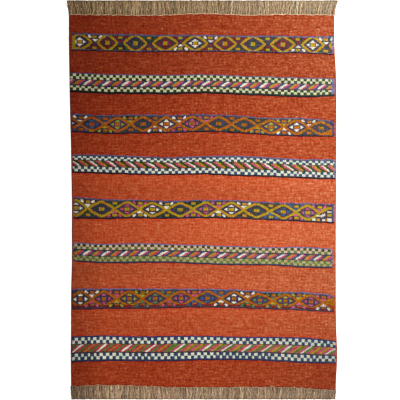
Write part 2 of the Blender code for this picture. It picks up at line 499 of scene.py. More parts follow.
    def outside(self, aside: float, up: float, inner: float, lined: bool, side: int) -> Dye:
        """The wool beyond the outlines, at mm right of and above or below a crossing.

        Args:
            aside: the distance right of the crossing's column.
            up: the distance above or below the crossing.
            inner: the height of the band's inner half.
            lined: whether the foot's lining wool takes the place of the outline's here.
            side: the number of the space between the outlines, for its accent and field.

        Returns:
            The wool.
        """
        accent, away, below = self.accents[side], abs(aside), inner - up
        low, high = self.block
        if (0.0 if lined else self.block_off) < below < self.block_high and low < aside < high:
            return self.foot_lining if lined else self.outline
        if below > self.fan_short and self.fan.holds(up, away):
            return accent
        tipped = away - self.dot_middle + (below - self.dot_level) * self.dot_slant
        if 0.0 < below < self.dot_high and abs(tipped) < self.dot_half:
            return accent
        if lined and away > self.lining_from:
            return self.foot_lining
        if away < self.neck_half and below > self.neck_short:
            return self.heart
        return self.fields[side % len(self.fields)]

    def end_dye(self, aside: float, up: float, inner: float) -> Dye | None:
        """The wool of the right end's own shape, at mm right of the last crossing, if any.

        Args:
            aside: the distance right of the last crossing.
            up: the distance above it, or below it where below 0.
            inner: the height of the band's inner half.

        Returns:
            The wool, or None where the usual motifs show.
        """
        shapes = self.shapes
        if self.right_end is RightEnd.RISING:
            return shapes.rising_dye(aside, up, self)
        if self.right_end is RightEnd.WEDGE and shapes.in_wedge(aside, up):
            return self.foot_lining if shapes.wedge_is_lined(aside, up, inner) else self.outline
        if self.right_end is RightEnd.CORNER and shapes.in_corner(aside, up, inner):
            return self.outline
        return None


@dataclass(frozen=True)
class StripeRun:
    """A run of slanted stripes that begins at one stitch column and repeats its leaves.

    Each leaf is a few stripes side by side, and "gap" stitches of the ground wool part the leaves.
    """

    start: float
    leaves: tuple[tuple[tuple[Dye, float], ...], ...]
    ground: Dye
    gap: float
    taper: float = 0.3

    def dye(self, place: float, edge: float) -> Dye:
        """The wool of the stripes at a place.

        Args:
            place: the stitch column of the run's middle line.
            edge: how near the place is to the run's upper or lower edge, from 0 to 1.

        Returns:
            The wool, with each leaf drawn in towards its ends.
        """
        widths = [sum(width for _, width in leaf) for leaf in self.leaves]
        left = (place - self.start) % (sum(widths) + self.gap * len(widths))
        for leaf, wide in zip(self.leaves, widths):
            if left >= wide + self.gap:
                left -= wide + self.gap
                continue
            left = wide / 2 + (left - wide / 2) / (1 - self.taper * edge**2)
            if left < 0 or left >= wide:
                return self.ground
            for wool, width in leaf:
                if left < width:
                    return wool
                left -= width
        return self.ground


@dataclass(frozen=True)
class CheckRow:
    """The two wools of one row of checks, and by how many half periods it is set over."""

    pale: Dye
    dark: Dye
    phase: int


LINE_PARTS = (2, 4)
STRIPE_PART = 3


@dataclass(frozen=True)
class CheckChart:
    """Two rows of checks on both sides of a row of slanted stripes, charted in stitches.

    "heights" counts the stitch rows of two check rows, the line, the stripes, and again the line and
    two check rows. "paces" are how many stitches late the upper checks, the stripes and the lower
    checks run at even steps from left to right, because the weaver's count wandered.
    """

    checks: tuple[CheckRow, CheckRow, CheckRow, CheckRow]
    runs: tuple[StripeRun, ...]
    heights: tuple[int, ...]
    paces: tuple[tuple[float, ...], ...]
    head_border: tuple[Dye, ...]
    foot_border: tuple[Dye, ...]
    period: float = 5.9
    pale_share: float = 0.5
    lean: int = 1
    slant: float = 1.5
    line: Dye = Dye.INDIGO
    end_border: int = 0
    end_wool: Dye = Dye.SLATE

    @property
    def rows(self) -> int:
        """How many stitch rows the band has."""
        return len(self.head_border) + sum(self.heights) + len(self.foot_border)

    def dye(self, column: int, row: int, columns: int, step: float) -> Dye:
        """The wool of one stitch.

        Args:
            column: the stitch's number from the left.
            row: the stitch's number from the head edge.
            columns: how many stitches the band is wide.
            step: the height of a row in mm.

        Returns:
            The wool that the chart gives it.
        """
        if row < len(self.head_border):
            return self.head_border[row]
        part, left = 0, row - len(self.head_border)
        while part < len(self.heights) and left >= self.heights[part]:
            left -= self.heights[part]
            part += 1
        if part == len(self.heights):
            return self.foot_border[left]
        if column >= columns - self.end_border:
            return self.end_wool
        if part in LINE_PARTS:
            return self.line
        late = along(self.paces[(part + 1) // 3], (column + 0.5) / columns)
        place = column + 0.5 - float(late)
        if part == STRIPE_PART:
            return self.stripe_dye(place, left, step)
        check = self.checks[part if part < STRIPE_PART else part - 3]
        share = place / self.period + check.phase / 2
        return check.pale if share % 1.0 < self.pale_share else check.dark

    def stripe_dye(self, place: float, row: int, step: float) -> Dye:
        """The wool of the stripes in one of their rows.

        Args:
            place: the stitch column, less how late the weaver's count runs.
            row: the row's number from the head side of the stripes.
            step: the height of a row in mm.

        Returns:
            The wool.
        """
        high = self.heights[STRIPE_PART]
        up = high / 2 - row - 0.5
        place -= self.lean * self.slant * up * step / STITCH
        started = [run for run in self.runs if run.start <= place]
        run = started[-1] if started else self.runs[0]
        return run.dye(place, abs(up) / (high / 2))


@dataclass(frozen=True)
class Cut:
    """How one corner of a band is drawn in: from how far off, and by how much, in mm."""

    reach: float
    drop: float


@dataclass(frozen=True)
class Band:
    """Where a brocaded band runs and its chart.

    Its middle line, its height and how far it stops short of both side edges are in mm.
    """

    name: str
    line: tuple[float, ...]
    tall: tuple[float, ...]
    insets: tuple[float, float]
    chart: LozengeChart | CheckChart
    head_right: Cut | None = None
    foot_right: Cut | None = None
    foot_left: Cut | None = None

    def at(self, height: np.ndarray | float, share: np.ndarray, wide: float) -> np.ndarray:
        """How far along the rug a line of the band runs, in mm.

        Args:
            height: the line's place in the band, from -0.5 at its foot edge to 0.5 at its head edge.
            share: how far across the rug to read it, from 0 to 1.
            wide: the rug's width in mm.

        Returns:
            The line's distance from the short middle line at each share.
        """
        place = along(self.line, share) + height * along(self.tall, share)
        right = 1 - share
        cuts = ((self.head_right, right, 1), (self.foot_right, right, -1), (self.foot_left, share, -1))
        for cut, from_end, side in cuts:
            if cut:
                near = np.clip(1 - from_end * wide / cut.reach, 0.0, 1.0) ** 2
                place = place - side * cut.drop * near * np.clip(0.5 + height * side, 0, 1)
        return place


GOLD_LEAF = shares(GOLD=2.5, AMBER=1.1, CORAL=3.1)
WHITE_LEAF = shares(WHITE=3.2, CORAL=3.1)
CORAL_WHITE = shares(CORAL=3.2, WHITE=2.4)
CORAL_GOLD = shares(CORAL=3.4, GOLD=2.5)
CRIMSON_WHITE = shares(CRIMSON=2.9, WHITE=2.4) + shares(CRIMSON=2.9)
CRIMSON_GOLD = shares(CRIMSON=2.9, GOLD=2.4) + shares(CRIMSON=2.9)
PLAIN_OLIVE = shares(OLIVE=4.0)
WIDE_STRIPES = StripeRun(0.0, (GOLD_LEAF, WHITE_LEAF), Dye.TEAL, 2.55)
HIGH_CAP = Wedge(10.0, 7.8, 10.8, -1.2)


def end_run(start: float, gold_first: bool) -> StripeRun:
    """One of the runs of coral stripes at the right of the last band."""
    leaves = (CORAL_GOLD, CORAL_WHITE) if gold_first else (CORAL_WHITE, CORAL_GOLD)
    return StripeRun(start, leaves, Dye.OLIVE, 3.5, 0.1)


def checks(pale: Dye, dark: Dye, phases: Sequence[int]) -> tuple[CheckRow, ...]:
    """Four check rows of the same two wools."""
    return tuple(CheckRow(pale, dark, phase) for phase in phases)


# The pale pewter, slate and lavender head-border rows are partly their own yarn and partly painted highlight,
# where each band's raised head edge catches the light.
BANDS = (
    Band(
        "brocade_1", (592, 588, 585, 585, 585, 583, 581, 580, 577), (68, 67, 68, 66, 64, 64, 67, 65, 71),
        (8.5, 1.6), LozengeChart(
            outline=Dye.MUSTARD, crossings=(22, 46, 73, 102, 130, 156, 184, 212, 238), lead=-6,
            accents=wools("WHITE MADDER GREEN MADDER WHITE MADDER GREEN MADDER WHITE GREEN"),
            fields=wools("PLUM INDIGO SPRUCE NAVY PLUM"),
            head_border=wools("PEWTER PEWTER PEWTER"), foot_border=wools("PEWTER INK INK"),
            gap=12.5, peak=1.12, thick=8.4, heart_high=7.0, block=(-10.0, 6.0), start_border=1,
            closed_start=True, end_wool=Dye.PEWTER),
        head_right=Cut(6, 4), foot_right=Cut(8, 5)),
    Band(
        "brocade_2", (440, 434, 432, 431, 434, 429, 425, 420, 421), (76, 76, 74, 73, 73, 73, 74, 74, 68),
        (0.6, 5.9), CheckChart(
            checks=checks(Dye.CREAM, Dye.BOTTLE, (0, 1, 1, 0)), runs=(WIDE_STRIPES,),
            heights=(4, 4, 1, 8, 2, 3, 4),
            paces=((3.0, 1.4, 2.7, 5.2, 6.1, 6.4, 7.4, 6.4), (5.7, 4.7, 4.6, 6.4, 6.5, 5.7, 6.2, 4.3),
                   (2.6, 2.8, 3.1, 5.3, 6.0, 6.7, 7.6, 7.1)),
            head_border=wools("PEWTER PEWTER"), foot_border=wools("SPRUCE SPRUCE INK INK"),
            slant=1.4, end_border=3)),
    Band(
        "brocade_3", (288, 282, 284, 284, 287, 283, 274, 272, 267), (71, 71, 72, 69, 68, 67, 67, 71, 60),
        (6.7, 7.9), LozengeChart(
            outline=Dye.ORANGE, crossings=(7, 30, 54, 77, 100, 125, 149, 173, 198, 221),
            accents=wools("WHITE BLUE LEAF GREEN WHITE ROSE GREEN GREEN LEAF WHITE GREEN"),
            fields=wools("NAVY PLUM SPRUCE INDIGO NAVY"),
            head_border=wools("PEWTER PEWTER NAVY"), foot_border=wools("NAVY INK INK"),
            thick=8.7, heart_columns=5, heart_high=6.2, right_end=RightEnd.CORNER, end_wool=Dye.NIGHT),
        head_right=Cut(36, 9)),
    Band(
        "brocade_4", (137, 134, 130, 127, 130, 128, 123, 117, 115), (69, 71, 71, 68, 70, 77, 74, 73, 77),
        (4.5, 3.5), CheckChart(
            checks=checks(Dye.MILK, Dye.TEAL, (0, 1, 0, 1)),
            runs=(StripeRun(0.0, (CORAL_WHITE, CORAL_GOLD), Dye.BOTTLE, 3.27),),
            heights=(3, 3, 1, 9, 1, 4, 4),
            paces=((-0.9, -2.4, -1.3, 0.1, 0.9, 1.2, 2.7, 1.9),
                   (-1.2, -3.0, -2.3, -0.7, -0.6, -1.5, 0.5, -2.4),
                   (-0.6, -1.2, -0.2, 2.1, 3.1, 5.0, 6.0, 4.5)),
            head_border=wools("SLATE SLATE NAVY"), foot_border=wools("NAVY INK INK"),
            lean=-1, slant=1.45, line=Dye.BOTTLE, end_border=1),
        head_right=Cut(20, 8)),
    Band(
        "brocade_5", (-28, -33, -33, -36, -33, -35, -41, -46, -50), (83, 75, 71, 67, 70, 70, 69, 72, 73),
        (5.5, 5.1), LozengeChart(
            outline=Dye.MUSTARD, crossings=(13, 38, 62, 87, 112, 136, 160, 185, 209, 231), lead=-8,
            accents=wools("WHITE GREEN ROSE WHITE GREEN ROSE WHITE GREEN BLUE ROSE WHITE"),
            fields=wools("INDIGO NAVY PLUM NAVY SPRUCE"),
            head_border=wools("SLATE PEWTER INDIGO"), foot_border=wools("NAVY INK INK"),
            thick=8.7, heart_columns=5, heart_high=6.3, cap=HIGH_CAP, right_end=RightEnd.RISING)),
    Band(
        "brocade_6", (-194, -199, -197, -199, -203, -207, -209, -213, -217),
        (72, 73, 75, 71, 74, 72, 69, 78, 74), (4.0, 11.8), CheckChart(
            checks=(CheckRow(Dye.BEIGE, Dye.MOSS, 0), CheckRow(Dye.BEIGE, Dye.MEADOW, 1),
                    CheckRow(Dye.STRAW, Dye.MEADOW, 1), CheckRow(Dye.STRAW, Dye.OLIVE, 0)),
            runs=(WIDE_STRIPES,), heights=(4, 4, 2, 8, 1, 4, 4),
            paces=((1.1, -1.7, -0.5, 1.9, 0.0, 1.6, 2.3, 1.8), (1.7, 1.3, 0.4, 3.0, 3.1, 3.6, 4.1, 1.9),
                   (0.6, -0.1, 0.8, 3.8, 6.1, 7.3, 8.0, 6.7)),
            head_border=wools("LAVENDER LAVENDER"), foot_border=wools("NIGHT INDIGO INK"),
            slant=1.45, end_border=1),
        head_right=Cut(45, 9), foot_left=Cut(22, 8)),
    Band(
        "brocade_7", (-369, -367, -367, -366, -365, -368, -374, -377, -385),
        (78, 77, 76, 73, 70, 70, 66, 70, 66), (3.8, 5.9), LozengeChart(
            outline=Dye.OCHRE, crossings=(18, 41, 65, 90, 114, 139, 164, 188, 212, 235), lead=-4,
            accents=wools("WHITE ROSE LEAF SAGE ROSE BLUE WHITE SAGE LEAF ROSE WHITE"),
            fields=wools("NAVY INDIGO SPRUCE NAVY PLUM"),
            head_border=wools("LAVENDER SLATE NAVY"), foot_border=wools("NAVY INDIGO INK"),
            thick=9.0, heart_high=6.2, cap=HIGH_CAP, arrow=Wedge(7.5, 12.0, 6.2, -0.46),
            right_end=RightEnd.WEDGE, end_border=0, foot_lining=Dye.MADDER),
        head_right=Cut(50, 9)),
    Band(
        "brocade_8", (-556, -552, -554, -553, -551, -553, -555, -560, -566),
        (99, 97, 94, 95, 91, 88, 91, 96, 87), (3.6, 5.6), CheckChart(
            checks=checks(Dye.MILK, Dye.TEAL, (0, 1, 0, 1)),
            runs=(StripeRun(1.2, (CRIMSON_WHITE, CRIMSON_GOLD), Dye.OLIVE, 3.2, 0.1),
                  StripeRun(92.3, (PLAIN_OLIVE,), Dye.OLIVE, 4.0), end_run(96.2, False),
                  end_run(113.4, True), end_run(121.7, False), end_run(230.7, True), end_run(237.0, False)),
            heights=(4, 4, 1, 10, 2, 4, 4),
            paces=((3.1, 2.6, 2.6, 4.5, 5.3, 6.8, 7.9, 7.4), (0.0, 0.0),
                   (2.8, 2.8, 2.8, 4.5, 5.0, 5.4, 6.6, 5.9)),
            head_border=wools("NIGHT NIGHT"), foot_border=wools("NAVY NIGHT INK"),
            pale_share=0.46, slant=1.35),
        head_right=Cut(30, 5)),
)


@dataclass(frozen=True)
class RugPlan:
    """The rug's outline and thickness, the same numbers as its solids have.

    The side edges are distances in mm from the long middle line at even steps from head to foot, and
    the ends are distances from the short middle line at even steps from left to right. "shift" is how
    far the frame moves all of it.
    """

    left: tuple[float, ...] = (501, 501, 499, 497, 494, 492, 490, 490, 490, 493, 493, 494, 493)
    right: tuple[float, ...] = (489, 490, 496, 497, 497, 496, 496, 495, 495, 495, 496, 500, 495)
    head: tuple[float, ...] = (692, 690, 689, 695, 690, 692, 690)
    foot: tuple[float, ...] = (694, 690, 696, 698, 697, 698, 708)
    width: float = 988.0
    bands: tuple[Band, ...] = BANDS
    thick: float = 2.6 * MM
    waver: float = 0.2 * MM
    waver_across: float = 11.0
    waver_along: float = 7.0
    waver_slant: float = 5.0
    band_rise: float = 1.5 * MM
    shift: tuple[float, float] = (0.0, 0.0)

    def side_edges(self, y: np.ndarray) -> tuple[np.ndarray, np.ndarray]:
        """The cloth's left and right edge at this distance along the rug."""
        share = (self.head[0] * MM - y) / ((self.head[0] + self.foot[0]) * MM)
        return -along(self.left, share) * MM, along(self.right, share) * MM

    def end_line(self, side: int, share: np.ndarray) -> np.ndarray:
        """The cloth's end at the head (side 1) or foot (side -1), this share of the way across."""
        return along(self.head, share) * MM if side > 0 else -along(self.foot, share) * MM

    def band_line(self, band: Band, at: np.ndarray | float, share: np.ndarray) -> np.ndarray:
        """How far along the rug a line of the band runs, this share of the way across."""
        return band.at(at, share, self.width) * MM

    def top(self, x: np.ndarray, y: np.ndarray) -> np.ndarray:
        """The height of the ground weave's face, with the slow waver of hand beating."""
        across = np.sin(self.waver_across * x + self.waver_slant * y)
        lengthwise = np.cos(self.waver_along * y - self.waver_slant * x)
        return self.thick + self.waver * across * lengthwise

    def points(self, x: np.ndarray, y: np.ndarray, z: np.ndarray) -> np.ndarray:
        """Points at these places of the plan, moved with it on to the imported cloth."""
        across, lengthwise = self.shift
        return np.stack([x + across, y + lengthwise, z], -1)

    def settled(self) -> "RugPlan":
        """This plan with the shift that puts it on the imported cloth.

        Returns:
            The settled plan.
        """
        low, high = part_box("cloth")
        samples = 400
        y = np.linspace(-self.foot[0] * MM, self.head[0] * MM, samples)
        share = np.linspace(0.0, 1.0, samples)
        left, right = self.side_edges(y)
        head, foot = self.end_line(1, share), self.end_line(-1, share)
        across = (low.x + high.x - left.min() - right.max()) / 2
        lengthwise = (low.y + high.y - foot.min() - head.max()) / 2
        return replace(self, shift=(float(across), float(lengthwise)))


@dataclass(frozen=True)
class Layout:
    """Where each side of a lattice lies on its bake map, as (left, bottom, right, top) shares.

    "sections" is how many lengths the face is cut into, stacked in its area.
    """

    face: tuple[float, ...]
    under: tuple[float, ...]
    rim: tuple[float, ...]
    sections: int


CLOTH_LAYOUT = Layout((0.004, 0.004, 0.74, 0.996), (0.78, 0.004, 0.996, 0.996), (0.75, 0.004, 0.77, 0.996), 1)
STRIP_LAYOUT = Layout(
    (0.004, 0.06, 0.996, 0.996), (0.004, 0.004, 0.996, 0.02), (0.004, 0.026, 0.996, 0.05), 4)
MAP_MARGIN = 0.003
RIM_LANE = (0.15, 0.6)  # where a side's strip starts in its quarter of the rim, and how wide it is


class Lattice:
    """A woven surface as a grid of quads whose vertices know their column, row and layer."""

    def __init__(self, columns: int, rows: int) -> None:
        """Start from a flat grid, with row 0 at the head and column 0 at the left.

        Args:
            columns: how many quads it is wide.
            rows: how many quads it is long.
        """
        self.columns = columns
        self.rows = rows
        self.bm = bmesh.new()
        self.keys = [self.bm.verts.layers.int.new(name) for name in ("column", "row", "layer")]
        bmesh.ops.create_grid(self.bm, x_segments=columns, y_segments=rows, size=0.5)
        for vert in self.bm.verts:
            vert[self.keys[0]] = round((vert.co.x + 0.5) * columns)
            vert[self.keys[1]] = round((0.5 - vert.co.y) * rows)

    def place(self, points: np.ndarray, layer: int = 0) -> None:
        """Move each vertex of a layer to points[row, column].

        Args:
            points: a point for each row line and column line.
            layer: 0 for the face, 1 for the underside.
        """
        column, row, level = self.keys
        for vert in self.bm.verts:
            if vert[level] == layer:
                vert.co = points[vert[row], vert[column]]

    def thicken(self, points: np.ndarray) -> None:
        """Close the face with a second one below it, whose vertices go to points[row, column]."""
        made = bmesh.ops.extrude_face_region(self.bm, geom=self.bm.faces[:])["geom"]
        self.mark_under(made)
        self.place(points, 1)

    def close_flat(self, level: float) -> None:
        """Close the face with a rim down to this level and one flat underside.

        Args:
            level: the height of the underside.
        """
        rim = [edge for edge in self.bm.edges if edge.is_boundary]
        made = bmesh.ops.extrude_edge_only(self.bm, edges=rim)["geom"]
        self.mark_under(made)
        for item in made:
            if isinstance(item, bmesh.types.BMVert):
                item.co.z = level
        open_edges = [edge for edge in self.bm.edges if edge.is_boundary]
        bmesh.ops.contextual_create(self.bm, geom=open_edges)

    def mark_under(self, made: list) -> None:
        """Note the vertices among these new elements as the underside's."""
        for item in made:
            if isinstance(item, bmesh.types.BMVert):
                item[self.keys[2]] = 1

    def finish(
        self, name: str, layout: Layout, dyes: np.ndarray, under_dye: np.ndarray, threads: np.ndarray,
    ) -> bpy.types.Object:
        """Turn the lattice into a finished object with its maps and dyes.

        Args:
            name: the piece's name.
            layout: where its sides lie on the bake map.
            dyes: the linear colour of each quad, by row and column.
            under_dye: the same for the underside, or one colour for all of it.
            threads: the thread count of each column line and each row line.

        Returns:
            The object, smooth shaded.
        """
        bmesh.ops.recalc_face_normals(self.bm, faces=self.bm.faces[:])
        mesh = bpy.data.meshes.new(name)
        self.bm.to_mesh(mesh)
        self.bm.free()
        corners = Corners(mesh, ("column", "row", "layer"))
        column, row, layer = corners.values
        first_column, first_row = corners.least(column), corners.least(row)
        is_under, is_face = corners.least(layer) == 1, corners.most(layer) == 0
        quad = (np.minimum(first_row, self.rows - 1), np.minimum(first_column, self.columns - 1))
        below = np.broadcast_to(under_dye, dyes.shape)
        colours = np.where(is_face[:, None], dyes[quad], below[quad])
        corners.write_colours(colours)
        share = np.stack([column / self.columns, 1 - row / self.rows], 1)
        per_section = math.ceil(self.columns / layout.sections)
        section = corners.spread(first_column // per_section)
        inside = np.stack([(column - section * per_section) / per_section, share[:, 1]], 1)
        inside = MAP_MARGIN + inside * (1 - 2 * MAP_MARGIN)
        inside[:, 1] = (section + inside[:, 1]) / layout.sections
        level_columns = corners.most(column) == corners.least(column)
        level_rows = corners.most(row) == corners.least(row)
        at_left, at_head = level_columns & (first_column == 0), level_rows & (first_row == 0)
        side = corners.spread(np.select([at_left, level_columns, at_head], [0, 1, 2], 3))
        run = np.where(side < 2, share[:, 1], share[:, 0])
        rim = np.stack([run, (side + RIM_LANE[0] + RIM_LANE[1] * layer) / 4], 1)
        left, bottom, right, top = layout.rim
        if right - left < top - bottom:
            rim = rim[:, ::-1]
        uv = into(layout.rim, rim)
        uv = np.where(corners.spread(is_face)[:, None], into(layout.face, inside), uv)
        uv = np.where(corners.spread(is_under)[:, None], into(layout.under, share), uv)
        corners.write_map(BAKE_MAP, uv)
        corners.write_map(THREAD_MAP, np.stack([column * threads[0], row * threads[1]], 1))
        corners.drop_keys()
        return finished(mesh)


class Corners:
    """A mesh's face corners as arrays, with the vertex keys that they carry."""

    def __init__(self, mesh: bpy.types.Mesh, names: Sequence[str]) -> None:
        """Read the mesh's corners and the named whole-number keys of their vertices.

        Args:
            mesh: the mesh to read.
            names: its whole-number vertex attributes.
        """
        self.mesh = mesh
        self.names = names
        self.vertex = self.read(mesh.loops, "vertex_index")
        self.first = self.read(mesh.polygons, "loop_start")
        self.total = self.read(mesh.polygons, "loop_total")
        self.values = []
        for name in names:
            found = np.empty(len(mesh.vertices), np.int32)
            mesh.attributes[name].data.foreach_get("value", found)
            self.values.append(found[self.vertex])

    @staticmethod
    def read(items: bpy.types.bpy_prop_collection, name: str) -> np.ndarray:
        """One whole number of each item."""
        found = np.empty(len(items), np.int32)
        items.foreach_get(name, found)
        return found

    def least(self, values: np.ndarray) -> np.ndarray:
        """The least value among each face's corners."""
        return np.minimum.reduceat(values, self.first)

    def most(self, values: np.ndarray) -> np.ndarray:
        """The greatest value among each face's corners."""
        return np.maximum.reduceat(values, self.first)

    def spread(self, values: np.ndarray) -> np.ndarray:
        """Each face's value or row of numbers, given to all its corners."""
        return np.repeat(values, self.total, axis=0)

    def write_colours(self, colours: np.ndarray) -> None:
        """Keep a colour for each face as the mesh's dye attribute."""
        layer = self.mesh.color_attributes.new(DYE_MAP, "FLOAT_COLOR", "CORNER")
        layer.data.foreach_set("color", self.spread(colours).astype(np.float32).ravel())

    def write_map(self, name: str, uv: np.ndarray) -> None:
        """Keep a place for each corner as a UV map."""
        layer = self.mesh.uv_layers.new(name=name)
        layer.data.foreach_set("uv", uv.astype(np.float32).ravel())

    def drop_keys(self) -> None:
        """Remove the vertex keys, which the finished piece doesn't need."""
        for name in self.names:
            self.mesh.attributes.remove(self.mesh.attributes[name])


def into(area: tuple[float, ...], share: np.ndarray) -> np.ndarray:
    """Places inside an area of a map, from shares of its width and height."""
    left, bottom, right, top = area
    return np.array([left, bottom]) + share * np.array([right - left, top - bottom])


def finished(mesh: bpy.types.Mesh) -> bpy.types.Object:
    """An object of this mesh, smooth shaded and linked to the scene.

    Args:
        mesh: the mesh, whose name the object takes.

    Returns:
        The object.
    """
    mesh.polygons.foreach_set("use_smooth", [True] * len(mesh.polygons))
    piece = bpy.data.objects.new(mesh.name, mesh)
    bpy.context.scene.collection.objects.link(piece)
    return piece


@dataclass
class Ground:
    """The weft-faced ground cloth, one closed sheet that runs on under the bands.

    "lots_and_painted_light" are the tone and the warmth of the wefts of each stretch, from the head down.
    The warmth and some of the tone are the dyeings' own, and the rest of the tone is painted light and
    shade along the rug, darker near the head and brighter below the middle. The rows beside the bands and
    the fringes are wefts of a redder dyeing, with flecks. "cockle" is how high the face swells in slow
    waves, and "cockle_waves" how close they lie across, how they bend, how close they lie lengthwise and
    how they slant. "tone_uneven" is by weft, by warp and by both.
    """

    plan: RugPlan
    warps: int = 246
    stretch_rows: int = 6
    band_rows: int = 2
    red_line: float = 6.0 * MM
    red_tint: tuple[float, float, float, float] = (1.0, 0.79, 0.8, 1.0)
    fleck: tuple[float, float, float, float] = (1.35, 0.85, 2.2, 1.0)
    fleck_share: float = 0.08
    rib: float = 0.24 * MM
    unevenness: float = 0.16
    cockle: float = 0.22 * MM
    cockle_waves: tuple[float, float, float, float] = (9, 13, 21, 4)
    warp_knots: int = 90
    warp_sway: float = 0.35 * MM
    tone_uneven: tuple[float, float, float] = (0.03, 0.025, 0.02)
    weft_step: float = 1.5 * MM
    # Partly dyeings, partly painted light and shade along the rug: the first of each pair is the stretch's
    # tone, the second its warmth.
    lots_and_painted_light: tuple[tuple[float, float], ...] = (
        (0.88, 0.08), (0.81, 0.08), (0.88, 0.12), (1.0, 0.09), (1.18, -0.02), (1.24, -0.05), (1.09, -0.08),
        (1.12, -0.01), (0.96, 0.11))
    rng: np.random.Generator = field(default_factory=lambda: np.random.default_rng(5))

    def __post_init__(self) -> None:
        """Lay the cloth's row lines between and under the bands of its plan."""
        self.columns = 2 * self.warps
        self.share = np.linspace(0.0, 1.0, self.columns + 1)
        edges = [self.plan.end_line(1, self.share)]
        for band in self.plan.bands:
            edges += [self.plan.band_line(band, half, self.share) for half in (0.5, -0.5)]
        edges.append(self.plan.end_line(-1, self.share))
        lines, lots_and_painted_light, kinds = [edges[0]], [], []
        for number, (upper, lower) in enumerate(zip(edges, edges[1:])):
            if number % 2:
                made, reds = self.split(upper, lower, self.band_rows), [False] * self.band_rows
            else:
                first, last = upper - self.red_line, lower + self.red_line
                made = [first, *self.split(first, last, self.stretch_rows), lower]
                reds = [True, *[False] * self.stretch_rows, True]
            lines += made
            lots_and_painted_light += [self.lots_and_painted_light[(number + 1) // 2]] * len(made)
            kinds += [(number % 2 == 1, red) for red in reds]
        self.lines = np.array(lines)
        self.row_lots_and_painted_light = np.array(lots_and_painted_light)
        self.in_band, self.is_red = np.array(kinds).T

    @staticmethod
    def split(upper: np.ndarray, lower: np.ndarray, count: int) -> list[np.ndarray]:
        """The lines that part the space below one line into even rows, with its last line."""
        return [upper + (lower - upper) * step / count for step in range(1, count + 1)]

    def build(self) -> bpy.types.Object:
        """Build the sheet: ribbed on both faces, with its underside's ribs on the floor.

        Returns:
            The sheet.
        """
        plan = self.plan
        rows = len(self.lines) - 1
        lattice = Lattice(self.columns, rows)
        low, high = plan.side_edges(self.lines)
        x = low + (high - low) * self.share
        crest = np.where(np.arange(self.columns + 1) % 2 == 1, 1.0, -1.0)
        plump = 1 + self.rng.normal(0.0, self.unevenness, (rows + 1, self.columns + 1))
        across, bend, lengthwise, slant = self.cockle_waves
        hills = np.sin(x * across + np.sin(self.lines * bend) * 2)
        hills = hills * np.cos(self.lines * lengthwise + x * slant)
        top = plan.top(x, self.lines) + self.cockle * hills + self.rib * crest * plump
        edge = np.minimum(np.arange(self.columns + 1), np.arange(self.columns + 1)[::-1])
        sway = wandering(self.rng, self.warp_knots, self.share, self.warp_sway)
        sway = np.where(edge > 2, sway + self.rng.normal(0.0, self.warp_sway / 3, x.shape), 0.0)
        under = np.broadcast_to(self.rib * (1 - crest) / 2, x.shape)
        lattice.place(plan.points(x + sway, self.lines, top))
        lattice.thicken(plan.points(x, self.lines, under))
        dyes, below = self.dress(rows)
        wefts = np.abs(self.lines[0] - self.lines[-1]).mean() / self.weft_step / rows
        return lattice.finish("ground_cloth", CLOTH_LAYOUT, dyes, below, np.array([0.5, wefts]))

    def dress(self, rows: int) -> tuple[np.ndarray, np.ndarray]:
        """Dye the sheet.

        Args:
            rows: how many rows of quads it has.

        Returns:
            The wool of each quad on the face, and on the back, where the bands show through darker.
        """
        # Each stretch's tone: partly its dyeing, partly painted light and shade along the rug.
        tone = np.ones((rows, self.columns)) * self.row_lots_and_painted_light[:, :1]
        for uneven, shape in zip(self.tone_uneven, ((rows, 1), (1, self.columns), (rows, self.columns))):
            tone *= 1 + self.rng.normal(0.0, uneven, shape)
        brick = Dye.BRICK.linear ** (1 + self.row_lots_and_painted_light[:, 1:])
        face = brick[:, None] * tone[..., None]
        face = face * np.where(self.is_red[:, None, None], self.red_tint, 1.0)
        flecked = self.is_red[:, None] & (self.rng.random((rows, self.columns)) < self.fleck_share)
        face = face * np.where(flecked[..., None], self.fleck, 1.0)
        mixed = sum(part * dye.linear for dye, part in BACK_MIX)
        back = np.where(self.in_band[:, None, None], mixed * np.ones_like(face), face)
        return opaque(face), opaque(back)


